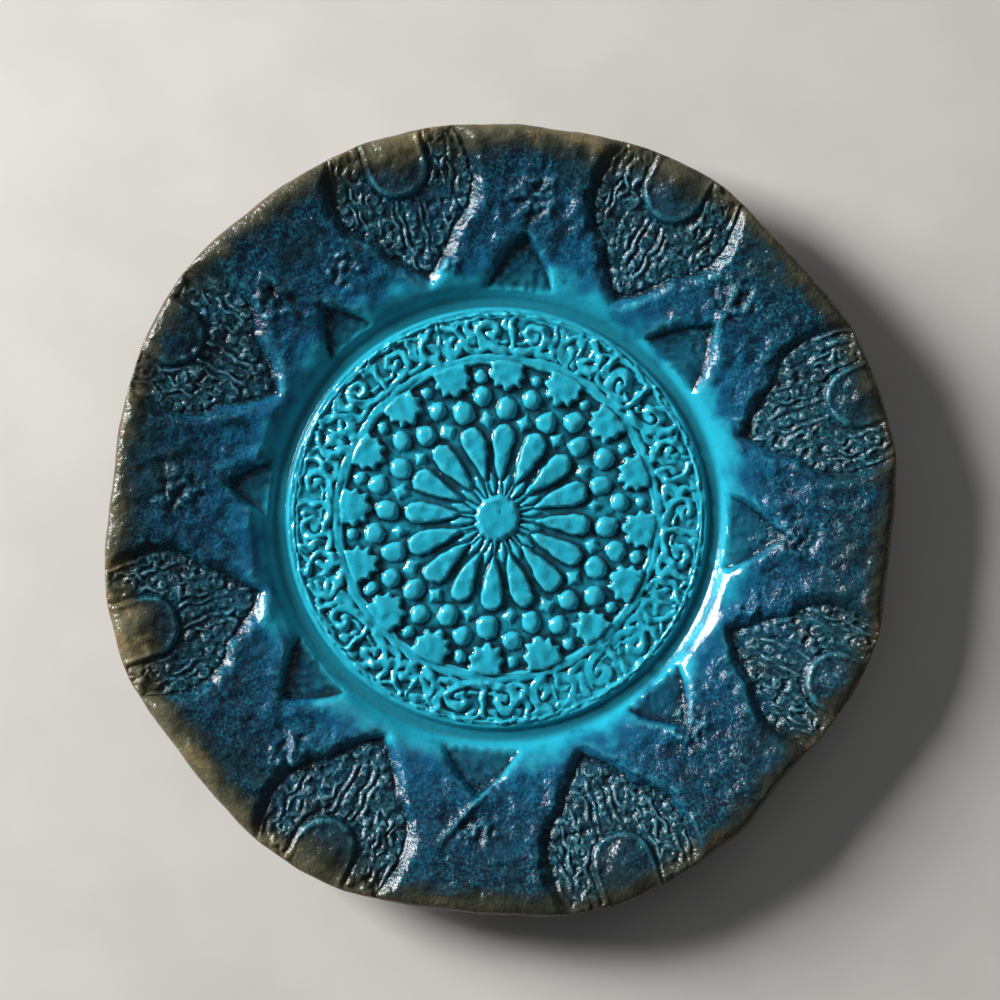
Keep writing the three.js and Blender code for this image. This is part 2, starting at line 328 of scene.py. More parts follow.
@dataclass
class DishSection:
    """The plate's turned section: well, groove, shoulder, rim and rolled edge."""

    edge: OuterEdge = field(default_factory=OuterEdge)
    rim_thickness: float = 9.0
    edge_round: float = 4.5
    edge_height: float = 28.5
    shoulder_height: float = 18.0
    well_radius: float = 84.5
    well_floor: float = 12.0
    groove_width: float = 4.2
    border_width: float = 2.8
    border_lift: float = 2.4
    field_lift: float = 1.0
    sink: float = 1.15
    roll_start: float = 136.0
    roll_power: float = 5.0
    sample: float = 0.1

    @property
    def rim_width(self) -> float:
        """Breadth of the rim from the shoulder out."""
        return self.edge.radius - self.edge.still_radius

    @property
    def slope(self) -> float:
        """Rise of the rim for each millimetre outward."""
        return (self.edge_height - self.shoulder_height) / (self.rim_width - self.edge_round)

    @property
    def medallion_radius(self) -> float:
        """Radius of the medallion, border included."""
        return self.well_radius - self.groove_width

    @property
    def equator(self) -> float:
        """Height of the outermost line, where face and back meet."""
        return self.edge_height - self.rim_thickness / 2

    def rim_top(self, radius: Array | float) -> Array | float:
        """Height of the rim's upper face at a radius, before the hand's unevenness."""
        return self.shoulder_height + (radius - self.edge.still_radius) * self.slope

    def face(self) -> tuple[Array, Array]:
        """Draw the upper half of the section from the middle to the outermost line.

        Returns:
            Radii and heights along it.
        """
        still, medallion = self.edge.still_radius, self.medallion_radius
        field_height = self.well_floor + self.field_lift
        border_height = self.well_floor + self.border_lift
        corners = (
            (0.0, field_height),
            (medallion - self.border_width - 0.6, field_height),
            (medallion - self.border_width, border_height),
            (medallion - 0.8, border_height),
            (medallion + 0.4, self.well_floor),
            (self.well_radius - 0.3, self.well_floor),
            (self.well_radius + 1.0, self.well_floor + 0.7),
            (still - 1.7, self.shoulder_height - 1.7),
            (still, self.shoulder_height - 0.6),
            (still + 2.6, self.rim_top(still + 2.6) - 0.3),
            (still + 9.0, self.rim_top(still + 9.0) - self.sink),
            (self.edge.radius, self.rim_top(self.edge.radius) - self.sink),
        )
        radii = np.arange(0.0, self.edge.radius, self.sample)
        at, height = np.array(corners).T
        heights = np.interp(radii, at, height)
        crisp = self.softened(heights, 0.35)
        soft = self.softened(heights, 0.9)
        mixed = crisp + (soft - crisp) * blend(self.well_radius - 1, self.well_radius + 1, radii)
        roll_end = np.sin(np.linspace(0.0, 1.0, 400) * math.pi / 2)
        rolled = self.roll_start + (self.edge.radius - self.roll_start) * roll_end
        share = (rolled - self.roll_start) / (self.edge.radius - self.roll_start)
        top = self.rim_top(rolled) - self.sink
        drop = np.sqrt(np.maximum(1.0 - share**self.roll_power, 0.0))
        flat = radii < self.roll_start
        heights = np.concatenate((mixed[flat], self.equator + (top - self.equator) * drop))
        return np.concatenate((radii[flat], rolled)), heights

    def softened(self, heights: Array, spread: float) -> Array:
        """Round a sampled section off.

        Args:
            heights: Heights at even steps.
            spread: Breadth of the rounding in millimetres.

        Returns:
            The rounded heights.
        """
        reach = int(3 * spread / self.sample)
        weight = np.exp(-0.5 * (np.arange(-reach, reach + 1) * self.sample / spread) ** 2)
        padded = np.pad(heights, reach, mode="edge")
        return np.convolve(padded, weight / weight.sum(), mode="valid")


def merged(first: Array, second: Array, fillet: float) -> Array:
    """Lay one relief over another with a soft fillet where they meet.

    Args:
        first: Heights of the one relief.
        second: Heights of the other.
        fillet: Breadth of the fillet in height.

    Returns:
        The heights of both.
    """
    overlap = np.maximum(fillet - np.abs(first - second), 0.0) / fillet
    both = np.clip(np.minimum(first, second) / fillet, 0.0, 1.0)
    return np.maximum(first, second) + overlap**2 * both * fillet / 4


@dataclass
class Motif:
    """One raised shape of the medallion, repeated round it with small differences."""

    name: str
    count: int
    first_angle: float
    rise: float
    slant: float
    crown: Crown
    outlines: tuple[Array, ...] = ()
    strands: tuple[tuple[Array, Array], ...] = ()
    both_sides: bool = False
    inner: float = 0.0
    outer: float = 100.0
    looseness: float = 0.3

    def raise_on(self, x: Array, y: Array, unit: float, seed: int) -> Array:
        """Work out how high the motif stands at each place.

        Args:
            x: Places across the medallion.
            y: Places up the medallion.
            unit: Millimetres for one share of the outline.
            seed: Number that fixes the copies' differences.

        Returns:
            Height above the ground in millimetres.
        """
        height = np.zeros(x.shape)
        radius = np.hypot(x, y) / unit
        near = (radius > self.inner) & (radius < self.outer)
        step = FULL_TURN / self.count
        angle = np.degrees(np.arctan2(y[near], x[near])) - self.first_angle
        copy = np.round(angle / step)
        turn = np.radians(angle - copy * step)
        copy = copy.astype(int) % self.count
        draw = np.random.default_rng(seed).normal(0.0, 1.0, (4, self.count))
        draw = np.clip(draw, -1.6, 1.6) * self.looseness
        across = -radius[near] * np.sin(turn) + draw[0][copy]
        outward = radius[near] * np.cos(turn) + draw[1][copy]
        if self.both_sides:
            across = np.abs(across)
        depth = np.full(across.shape, -np.inf)
        for outline in self.outlines:
            depth = np.maximum(depth, depth_in_outline(across, outward, outline))
        for line, half_widths in self.strands:
            depth = np.maximum(depth, depth_on_line(across, outward, line, half_widths))
        depth = depth + 0.5 * draw[2][copy]
        rise = self.rise * (1.0 + 0.25 * draw[3][copy])
        height[near] = rise * crowned(depth * unit, self.crown, self.slant)
        return height


def polar_line(points: Pairs, steps: int) -> Array:
    """Turn angles off the axis and radii into a smooth line.

    Args:
        points: Pairs of an angle in degrees and a radius.
        steps: Straight stretches between two of them.

    Returns:
        The line's points across and outward.
    """
    angle, radius = smooth_line(points, steps).T
    turn = np.radians(angle)
    return np.stack((radius * np.sin(turn), radius * np.cos(turn)), axis=1)


def strand(points: Pairs, half: float, end: float | None = None, steps: int = 4) -> tuple[Array, Array]:
    """Draw a strand through polar points.

    Args:
        points: Pairs of an angle off the axis and a radius.
        half: Half its width.
        end: Half its width at the far end, where that differs.
        steps: Straight stretches between two points.

    Returns:
        Its middle line and half its width along it.
    """
    line = polar_line(points, steps)
    return line, np.linspace(half, half if end is None else end, len(line))


@dataclass
class Medallion:
    """The raised rosette, its ring and the band of hooked scrolls round it."""

    section: DishSection
    rosette_turn: float = 85.5
    petal_count: int = 16
    scroll_count: int = 8
    rosette_rise: float = 2.2
    scroll_rise: float = 1.9
    ring_share: float = 0.757
    ring_width: float = 4.4
    ring_rise: float = 1.5
    ring_line: float = 0.55
    band_start: tuple[float, float] = (0.77, 0.80)
    warp: float = 0.5
    warp_breadth: float = 13.0
    loose: float = 0.42
    loose_more: float = 0.5
    loose_breadth: float = 4.4
    fillet: float = 0.9
    ring_fillet: float = 0.6
    swell: float = 0.2
    swell_more: float = 0.4
    swell_breadth: float = 3.8
    blob_rise: float = 1.3
    blob_breadth: float = 3.6
    blob_fillet: float = 0.7
    band_ground: float = 0.55
    band_wear: float = 0.25
    faint_place: tuple[float, float] = (38, -58)
    faint_breadth: float = 30.0
    faint_wear: float = 0.4
    pit_place: tuple[float, float] = (1.0, 2.2)
    pit_depth: float = 0.7
    pit_area: float = 0.3
    trench_depth: float = 0.3
    trench_start: tuple[float, float] = (36, 42)
    border_line: float = 0.45
    seed: int = 31

    @property
    def unit(self) -> float:
        """Millimetres for a hundredth of the medallion's radius."""
        return self.section.medallion_radius / 100.0

    def rosette(self) -> list[Motif]:
        """List the boss, seeds, petals, kites, knobs, half stars and beads."""
        petal = mirrored(
            ((0, 17.6), (1.6, 20.4), (3.5, 27.0), (5.4, 36.0), (5.2, 41.2), (2.8, 44.0), (0, 44.6)),
        )
        star = mirrored(smooth_line((
            (0, 59.2), (1.7, 59.9), (3.0, 62.0), (5.3, 61.4), (6.7, 62.4), (6.5, 65.0), (8.5, 66.4),
            (8.7, 68.0), (7.7, 70.0), (8.4, 74.0), (0, 75.2),
        ), 2))
        inner_knob = mirrored(smooth_line(
            ((0, 46.4), (3.2, 47.2), (4.9, 51.0), (3.6, 55.6), (0, 57.6)), 3,
        ))
        boss = ring_of_corners(0.0, 11.9, 32)
        boss[::2] *= 0.94
        on, between = self.rosette_turn, self.rosette_turn + FULL_TURN / self.petal_count / 2
        rise, many = self.rosette_rise, self.petal_count
        rib = (np.array(((0.0, 9.0), (0.0, 17.0))), np.array((1.1, 0.5)))
        seed_line = (np.array(((0.0, 12.0), (0.0, 17.4), (0.0, 21.0))), np.array((0.6, 1.7, 0.7)))
        return [
            Motif("boss", 1, between, rise, 2.0, Crown.FLAT, (boss,), outer=14, looseness=0.0),
            Motif("rib", many, on, 0.9, 0.6, Crown.ROUND, strands=(rib,), outer=19),
            Motif("seed", many, between, 1.5, 1.1, Crown.ROUND, strands=(seed_line,), outer=24),
            Motif("petal", many, on, rise, 0.9, Crown.FLAT, (petal,), inner=16, outer=47),
            Motif("kite", many, between, rise * 0.75, 1.6, Crown.PEAK,
                  (ring_of_corners(46.6, 4.0, 4, 1.1),), inner=40, outer=53, looseness=0.4),
            Motif("inner knob", many, on, rise, 2.9, Crown.ROUND, (inner_knob,),
                  inner=44, outer=61, looseness=0.4),
            Motif("outer knob", many, between, rise, 3.1, Crown.ROUND,
                  (ring_of_corners(58.2, 4.8, 13),), inner=50, outer=66, looseness=0.4),
            Motif("half star", many, on, rise, 0.9, Crown.FLAT, (star,), inner=56, outer=76),
            Motif("bead", many, between, rise * 0.75, 1.6, Crown.ROUND,
                  (ring_of_corners(68.2, 3.0, 11),), inner=62, outer=74, looseness=0.5),
        ]

    def band(self) -> list[Motif]:
        """List the stems, hooked scrolls, rails, blades and leaves of the scroll band."""
        on, many, rise = self.rosette_turn, self.scroll_count, self.scroll_rise
        stem = mirrored(((2.6, 77.6), (1.5, 82.5), (2.0, 87.5), (1.2, 91), (2.4, 95.6)))
        hook = strand(((1.9, 79.2), (6.0, 80.4), (9.6, 83.0), (10.6, 87.6), (9.0, 91.0),
                       (6.2, 91.2), (4.6, 88.4), (6.2, 86.2)), 2.3, 2.1)
        knob = strand(((6.4, 85.6), (7.3, 86.4)), 2.4)
        tendril = strand(
            ((8.8, 80.4), (12.0, 79.8), (14.4, 81.4), (14.2, 84.2), (12.8, 84.9)), 1.9, 2.1,
        )
        foot = strand(((2.0, 83.6), (4.0, 83.6), (5.2, 85.0)), 1.1, 0.8)
        blade = strand(((20.2, 78.8), (17.4, 81.4), (16.0, 86), (17.2, 90.6), (20.6, 94.4)), 2.2, 1.8)
        leaf = strand(((12.9, 87.0), (13.7, 90.2), (13.0, 93.8)), 2.5, 1.6)
        spur = strand(((17.2, 91.4), (15.4, 93.6), (12.0, 95.0)), 1.2, 0.8)
        curl = strand(((18.6, 87.4), (20.8, 84.6), (20.4, 81.4), (18.9, 82.4)), 1.8, 1.8)
        rail = strand(((1.6, 95.2), (6.0, 95.3), (11.0, 95.3), (14.6, 94.9)), 0.95, 0.8)
        lozenge = (ring_of_corners(86.2, 2.4, 4, 2.6),)
        tip = (ring_of_corners(93.6, 2.0, 6, 1.3),)
        between = on + FULL_TURN / many / 2
        edge = {"inner": 74, "outer": 98, "both_sides": True}
        return [
            Motif("stem", many, on, rise, 1.1, Crown.ROUND, (stem,), **edge),
            Motif("hook", many, on, rise, 1.35, Crown.ROUND, strands=(hook, knob), **edge),
            Motif("tendril", many, on, rise * 0.85, 1.1, Crown.ROUND, strands=(tendril, foot), **edge),
            Motif("blade", many, on, rise, 1.25, Crown.ROUND, strands=(blade, leaf), **edge),
            Motif("spur", many, on, rise * 0.8, 0.9, Crown.ROUND, strands=(spur, curl, rail), **edge),
            Motif("lozenge", many, between, rise, 1.5, Crown.PEAK, lozenge + tip, **edge),
        ]

    def relief(self, x: Array, y: Array, noise: Noise) -> Array:
        """Work out the medallion's relief above its ground.

        Args:
            x: Places across.
            y: Places up.
            noise: Unevenness of the pressing.

        Returns:
            Height above the ground in millimetres.
        """
        in_band = blend(*self.band_start, np.hypot(x, y) / self.section.medallion_radius)
        loose = self.loose + self.loose_more * in_band
        bent_x = x + self.warp * noise.at(x + 40, y, self.warp_breadth)
        bent_x = bent_x + loose * noise.at(x + 10, y, self.loose_breadth)
        bent_y = y + self.warp * noise.at(x, y + 90, self.warp_breadth)
        bent_y = bent_y + loose * noise.at(x, y + 20, self.loose_breadth)
        radius = np.hypot(bent_x, bent_y)
        inside = radius < self.section.medallion_radius - self.section.border_width + 0.4
        height = np.zeros(x.shape)
        for index, motif in enumerate(self.rosette() + self.band()):
            raised = motif.raise_on(bent_x, bent_y, self.unit, self.seed + index)
            height = merged(height, raised, self.fillet)
            log.debug("%s pressed %d times", motif.name, motif.count)
        off_ring = radius - self.section.medallion_radius * self.ring_share
        ring = self.ring_rise * crowned(self.ring_width / 2 - np.abs(off_ring), Crown.FLAT, 0.8)
        broken = blend(-0.25, 0.35, noise.at(x + 77, y, 11.0))
        ring -= self.ring_line * bulge(off_ring, -0.9, 0.5) * broken
        height = merged(height, ring, self.ring_fillet)
        swell = self.swell + self.swell_more * in_band
        height *= 1.0 + swell * noise.at(x + 15, y + 33, self.swell_breadth)
        blobs = self.blob_rise * blend(0.1, 0.5, noise.at(x + 200, y, self.blob_breadth)) * in_band
        height = np.maximum(merged(height, blobs, self.blob_fillet), self.band_ground * in_band)
        worn = blend(0.15, 0.75, noise.at(x - 30, y + 12, 34.0)) * in_band
        faint_x, faint_y = self.faint_place
        faint = np.exp(-((x - faint_x) ** 2 + (y - faint_y) ** 2) / self.faint_breadth**2) * in_band
        height *= 1.0 - self.band_wear * worn - self.faint_wear * faint
        height += 0.14 * noise.at(x, y, 3.4) + 0.08 * noise.at(x, y, 1.8)
        pit_x, pit_y = self.pit_place
        height -= self.pit_depth * np.exp(-((x - pit_x) ** 2 + (y - pit_y) ** 2) / self.pit_area)
        annulus = blend(*self.trench_start, radius / self.unit) * (1 - in_band)
        height -= self.trench_depth * annulus * np.exp(-height)
        border = 0.22 * noise.at(x + 60, y, 3.6) + 0.12 * noise.at(x, y, 1.9) - 0.1
        from_edge = self.section.medallion_radius - radius
        border = border - self.border_line * bulge(from_edge, 1.5, 0.45)
        on_top = blend(-0.2, 0.8, from_edge)
        return np.where(inside, height, border * on_top)


@dataclass
class LeafPattern:
    """The carving of the leaf stamp: a stem with curls, hooks and rings on both sides of it."""

    rise: float = 1.5
    line: float = 1.36
    step: float = 0.2
    breadth: float = 30.0
    length: float = 62.0
    turns: float = 1.35
    curls: tuple[tuple[float, float, float, float], ...] = (
        (8.0, 14.2, 2.4, 20), (7.9, 31.0, 2.3, 200), (12.8, 34.4, 2.7, 120), (17.0, 20.4, 1.9, -60),
        (20.6, 24.3, 2.0, -40), (23.2, 29.0, 2.1, -20), (24.6, 33.7, 2.0, 0), (24.2, 38.5, 2.5, 30),
        (17.3, 46.6, 3.4, 90), (11.5, 14.6, 1.5, 150), (14.1, 17.2, 1.7, 40), (10.3, 29.9, 1.4, 70),
        (9.4, 19.0, 1.9, 60), (9.6, 24.4, 2.2, 160), (14.6, 24.0, 2.2, 250), (15.0, 29.6, 2.0, 30),
        (18.6, 52.6, 2.1, 10), (14.8, 53.0, 1.8, 100), (22.4, 54.4, 1.6, 60), (5.4, 9.6, 1.2, 130),
    )
    strokes: tuple[Pairs, ...] = (
        ((1.7, 10.8), (3.4, 9.0), (3.8, 6.4), (2.8, 3.8)),
        ((2.9, 11.6), (3.9, 16.0), (3.3, 21.0), (4.0, 27.0), (3.4, 32.6)),
        ((6.5, 17.0), (6.0, 20.6), (7.0, 24.4), (6.2, 28.4)),
        ((11.9, 17.6), (12.4, 22.4), (11.6, 26.4), (12.8, 30.6)),
        ((16.0, 33.0), (17.0, 35.2), (15.8, 38.6)),
        ((17.4, 23.8), (17.9, 28.6), (17.4, 32.0), (19.5, 36.0), (19.2, 40.8)),
        ((20.2, 27.4), (20.3, 31.6), (22.1, 35.4)),
        ((12.4, 37.8), (14.3, 41.0), (13.6, 45.0), (14.0, 49.8)),
        ((21.8, 41.2), (21.2, 44.8), (22.1, 48.6), (21.0, 51.6)),
        ((25.2, 41.6), (25.6, 45.6), (24.8, 49.6), (24.6, 54.0)),
        ((15.8, 40.4), (17.4, 41.8), (19.6, 43.6)),
    )
    ring_out: float = 6.9
    ring_radius: float = 2.1
    stem_half: float = 1.9
    stem_start: float = 11.0
    stem_end: float = 33.6

    def __post_init__(self) -> None:
        """Carve one half of the pattern on an even grid, for every stamp to read."""
        across = np.arange(0.0, self.breadth, self.step)
        outward = np.arange(0.0, self.length, self.step)
        self.carved = self.carve(*np.meshgrid(across, outward))

    def carve(self, side: Array, outward: Array) -> Array:
        """Carve one half of the pattern.

        Args:
            side: Distances from the axis.
            outward: Distances from the tip.

        Returns:
            Heights above the stamp's floor in millimetres.
        """
        from_ring = np.hypot(side, outward - self.ring_out)
        depth = np.maximum(self.line - np.abs(from_ring - self.ring_radius), 0.9 - from_ring)
        for middle, out, radius, start in self.curls:
            share = np.linspace(0.0, 1.0, 13)
            turn = math.radians(start) + share * self.turns * 2 * math.pi
            shrink = radius * (1.0 - 0.72 * share)
            line = np.stack((middle + shrink * np.cos(turn), out + shrink * np.sin(turn)), axis=1)
            half_widths = np.linspace(self.line * 0.8, self.line * 0.95, len(line))
            depth = np.maximum(depth, depth_on_line(side, outward, line, half_widths))
        for stroke in self.strokes:
            line = smooth_line(stroke, 4)
            half_widths = np.linspace(self.line, self.line * 0.6, len(line))
            depth = np.maximum(depth, depth_on_line(side, outward, line, half_widths))
        ends = np.minimum(outward - self.stem_start, self.stem_end - outward)
        stem = np.minimum(self.stem_half - side, ends)
        beads = 0.2 * np.cos(outward * 2.1) * (side < 1.0)
        raised = self.rise * crowned(depth, Crown.ROUND, self.line)
        stem_rise = (0.85 + beads) * self.rise * crowned(stem, Crown.ROUND, self.stem_half * 0.6)
        return np.maximum(raised, stem_rise)

    def height(self, across: Array, outward: Array) -> Array:
        """Read the carving's height under places of a stamp.

        Args:
            across: Places across the stamp, from its axis.
            outward: Places outward from its tip.

        Returns:
            Height in millimetres, 0 beyond the carving.
        """
        rows, columns = self.carved.shape
        column = np.clip(np.abs(across) / self.step, 0, columns - 1.001)
        row = np.clip(outward / self.step, 0, rows - 1.001)
        left, low = column.astype(int), row.astype(int)
        share_x, share_y = column - left, row - low
        lower = self.carved[low, left] * (1 - share_x) + self.carved[low, left + 1] * share_x
        upper = self.carved[low + 1, left] * (1 - share_x) + self.carved[low + 1, left + 1] * share_x
        return lower * (1 - share_y) + upper * share_y


@dataclass
class LeafStamp:
    """One leaf-shaped stamp in the rim, open at the edge, with a smooth tongue left in it."""

    angle: float
    tip: float
    tongue: float
    section: DishSection
    pattern: LeafPattern
    depth: float = 3.9
    slant: float = 0.9
    lip: float = 3.8
    tongue_lip: float = 1.7
    length_share: float = 0.94
    reach: float = 7.0
    twist: float = 0.95
    twist_breadth: float = 5.0
    vein_rise: float = 0.7
    vein_breadth: float = 4.4
    lip_unevenness: float = 1.6
    pushed_rise: float = 0.4
    lip_line_rise: float = 0.4
    tongue_radius: float = 11.4
    tongue_dome: float = 1.3
    lower: Pairs = ((0, 0), (0.11, 0.095), (0.2, 0.2), (0.266, 0.31))
    lobe: Pairs = (
        (0.266, 0.31), (0.352, 0.362), (0.436, 0.46), (0.48, 0.58), (0.494, 0.7), (0.482, 0.84),
        (0.44, 1.0),
    )

    def outline(self) -> Array:
        """Draw the leaf's outline, running out past the plate's edge."""
        lower = smooth_line(self.lower, 4)
        lobe = smooth_line(self.lobe, 4)[1:]
        end = np.array(((lobe[-1][0], 1.4),))
        return mirrored(np.vstack((lower, lobe, end))) * self.section.rim_width * self.length_share

    def press(self, x: Array, y: Array, surface: Array, noise: Noise) -> dict[str, Array]:
        """Press the stamp into the rim.

        Args:
            x: Places across the plate.
            y: Places up the plate.
            surface: Heights before pressing.
            noise: Unevenness of the clay.

        Returns:
            The places touched, their new heights, and their shares of stamp and tongue.
        """
        tip_radius = self.section.edge.still_radius + self.tip * self.section.rim_width
        across, outward = seen_from(self.angle, tip_radius, x, y)
        near = (outward > -self.reach) & (np.abs(across) < self.section.rim_width / 2 + self.reach)
        across, outward = across[near], outward[near]
        bend = 0.5 * noise.at(across + self.angle * 3, outward, 7.0)
        bow = 0.5 * noise.at(across, outward + self.angle * 5, 8.0)
        leaf = depth_in_outline(across + bend, outward + bow, self.outline())
        middle = (self.tongue - self.tip) * self.section.rim_width + self.tongue_radius
        from_middle = np.where(outward < middle, np.hypot(across, outward - middle), np.abs(across))
        tongue = self.tongue_radius - from_middle
        cut = np.minimum(leaf, -tongue)
        floor = self.section.rim_top(tip_radius) - self.depth + self.section.slope * outward
        wear = 0.85 + 0.4 * noise.at(across + self.angle, outward, 12.0)
        shift = self.angle * 1.7
        twist = self.twist * noise.at(across + shift, outward, self.twist_breadth)
        sway = self.twist * noise.at(across, outward + shift, self.twist_breadth)
        carving = self.pattern.height(across + bend + twist, outward + bow + sway) * wear
        carving *= 0.65 + 0.45 * blend(-0.35, 0.2, noise.at(across + shift, outward * 0.8, 3.0))
        vein = noise.at(across - shift, outward * 0.7 + twist, self.vein_breadth)
        vein = 1.0 - np.abs(vein) * 3.0
        carving = merged(carving, self.vein_rise * blend(0.0, 1.0, vein) * wear, self.vein_rise)
        carving += 0.16 * noise.at(across, outward + self.angle, 2.6)
        carving *= blend(0.0, 1.6, cut)
        pinched = 0.5 * noise.at(x[near] + 30, y[near], 3.0)
        pinched += 0.8 * noise.at(x[near], y[near] + 70, 9.0)
        lip = self.lip + self.lip_unevenness * pinched
        share = sloped(-lip, self.slant, leaf) * sloped(-self.tongue_lip, self.slant, -tongue)
        before = surface[near]
        pushed_up = self.pushed_rise * bulge(leaf, -5.0, 2.6) * blend(middle + 8, middle - 4, outward)
        on_tongue = blend(0.0, 2.5, tongue) * blend(-1.0, 2.0, leaf)
        lip_line = self.lip_line_rise * bulge(tongue, 1.9, 0.8) * (outward < middle)
        dome = -self.tongue_dome + self.tongue_dome * blend(0.0, self.tongue_radius, tongue)
        shaped = before + pushed_up + (dome + lip_line) * on_tongue
        pressed = np.minimum(shaped, floor + carving)
        return {
            "near": near,
            "height": shaped + (pressed - shaped) * share,
            "stamp": blend(-1.5, 1.0, cut),
            "tongue": on_tongue,
        }


@dataclass
class PointedArch:
    """One pointed arch in the rim, with a floor that runs out at the shoulder."""

    angle: float
    tip: float
    half: float
    section: DishSection
    depth: float = 3.7
    base_depth: float = 3.3
    slant: float = 0.5
    lip: float = 2.4
    lip_unevenness: float = 1.4
    margin: float = 7.0
    margin_below: float = 8.0
    shoulder_round: float = 2.4
    pushed_rise: float = 0.5
    floor_grain: float = 0.45
    floor_swell: float = 0.3

    def press(self, x: Array, y: Array, surface: Array, noise: Noise) -> dict[str, Array]:
        """Press the arch into the rim.

        Args:
            x: Places across the plate.
            y: Places up the plate.
            surface: Heights before pressing.
            noise: Unevenness of the clay.

        Returns:
            The places touched, their new heights, and their share of arch.
        """
        start = self.section.edge.still_radius - self.shoulder_round
        height = self.tip * self.section.rim_width + self.shoulder_round
        base = self.half * self.section.rim_width
        across, outward = seen_from(self.angle, start, x, y)
        near = (outward > -self.margin_below) & (outward < height + self.margin)
        near &= np.abs(across) < base + self.margin
        across, outward = across[near], outward[near]
        side = smooth_line(
            ((base * 1.1, -6), (base, 0), (base * 0.66, height * 0.46), (base * 0.22, height * 0.86),
             (0, height)), 4,
        )
        bend = 0.3 * noise.at(across + self.angle * 2, outward, 7.0)
        cut = depth_in_outline(across + bend, outward, mirrored(side))
        at_base = self.section.shoulder_height - self.base_depth
        at_tip = self.section.rim_top(start + height) - self.depth
        floor = at_base + (at_tip - at_base) * outward / height
        floor = floor + self.floor_grain * noise.at(across + 50, outward + self.angle, 2.4)
        floor = floor + self.floor_swell * noise.at(across + 80, outward + self.angle, 5.5)
        before = surface[near]
        pushed_up = self.pushed_rise * bulge(cut, -4.2, 2.4) * blend(2.0, 6.0, outward)
        shaped = before + pushed_up
        pinched = 0.5 * noise.at(x[near] + 30, y[near], 3.0)
        pinched += 0.6 * noise.at(x[near], y[near] + 70, 8.0)
        share = sloped(-self.lip - self.lip_unevenness * pinched, self.slant, cut)
        pressed = np.minimum(shaped, floor)
        return {
            "near": near,
            "height": shaped + (pressed - shaped) * share,
            "arch": blend(-1.2, 0.8, cut) * blend(-1.5, 1.5, outward),
        }


@dataclass
class Crease:
    """A soft ridge or hollow that the hand left on the rim, from one place to another."""

    angle: float
    radius: float
    far_angle: float
    far_radius: float
    half_width: float
    rise: float

    def height(self, x: Array, y: Array) -> Array:
        """Height of the ridge at each place, in millimetres."""
        ends = np.array([
            (radius * math.cos(math.radians(angle)), radius * math.sin(math.radians(angle)))
            for angle, radius in ((self.angle, self.radius), (self.far_angle, self.far_radius))
        ])
        depth = depth_on_line(x, y, ends, np.array((self.half_width, self.half_width * 0.7)))
        return self.rise * blend(0.0, self.half_width, depth)


@dataclass
class RimClay:
    """The rim's pinched and patted clay: swells, creases and rough patches."""

    creases: tuple[Crease, ...] = (
        Crease(259.5, 126, 274.5, 91, 2.8, 1.5),
        Crease(148, 95, 171, 95.5, 5.0, 1.3),
        Crease(171, 95.5, 194, 95.5, 5.0, 1.5),
        Crease(194, 95.5, 217, 95, 5.0, 1.3),
        Crease(185, 104, 176, 122, 3.0, 0.6),
        Crease(168, 106, 171, 134, 2.6, -0.5),
        Crease(84, 108, 82, 138, 2.6, -0.45),
        Crease(90, 106, 89, 134, 3.4, 0.5),
        Crease(41, 111, 45, 136, 3.0, 0.55),
        Crease(129, 104, 134, 128, 3.4, 0.6),
        Crease(219, 108, 223, 136, 3.2, 0.5),
        Crease(312, 108, 309, 132, 3.0, -0.45),
        Crease(3, 108, 1, 140, 3.4, 0.5),
    )
    rough_patches: tuple[tuple[float, float, float], ...] = (
        (137, 119, 12), (175, 121, 13), (83, 122, 12), (43, 122, 11), (312, 108, 11), (356, 112, 10),
        (266, 118, 9), (205, 140, 9), (150, 104, 8), (228, 118, 10), (20, 100, 7), (100, 98, 7),
        (153, 126, 12), (190, 122, 10), (122, 112, 9), (238, 128, 9), (340, 104, 8), (60, 104, 8),
    )
    swell: float = 0.5
    swell_breadth: float = 24.0
    dimple: float = 0.55
    dimple_breadth: float = 8.5
    patted: tuple[tuple[float, float, float, float], ...] = (
        (0.44, 0.95, 4.6, 150), (0.3, 0.8, 2.6, 300),
    )
    highest: float = 1.16
    highest_round: float = 0.2
    mean_lift: float = 0.6

    def roughness(self, x: Array, y: Array, noise: Noise) -> Array:
        """Share of rough, pitted skin at each place."""
        rough = np.zeros(x.shape)
        for angle, radius, reach in self.rough_patches:
            turn = math.radians(angle)
            gap = np.hypot(x - radius * math.cos(turn), y - radius * math.sin(turn))
            rough = np.maximum(rough, blend(reach, reach * 0.3, gap + 3.0 * noise.at(x, y, 5.0)))
        return rough

    def lumps(self, x: Array, y: Array, noise: Noise) -> Array:
        """Height that the hand's unevenness adds to the sunk section, in millimetres."""
        lumps = self.mean_lift + self.swell * noise.at(x, y, self.swell_breadth)
        lumps = lumps + self.dimple * noise.at(x + 200, y, self.dimple_breadth)
        for crease in self.creases:
            lumps = lumps + crease.height(x, y)
        rough = self.roughness(x, y, noise)
        for everywhere, in_patches, breadth, shift in self.patted:
            lumps = lumps + (everywhere + in_patches * rough) * noise.at(x, y + shift, breadth)
        highest = self.highest + 0.04 * np.maximum(136 - np.hypot(x, y), 0.0)
        over = np.maximum(lumps - highest + self.highest_round, 0.0)
        return lumps - over + self.highest_round * (1 - np.exp(-over / self.highest_round))


def places_of(body: bpy.types.Object) -> Array:
    """List where a mesh's vertices are.

    Args:
        body: The mesh.

    Returns:
        Three rows: places across, up and high.
    """
    corners = np.empty(len(body.data.vertices) * 3)
    body.data.vertices.foreach_get("co", corners)
    return corners.reshape(-1, 3).T


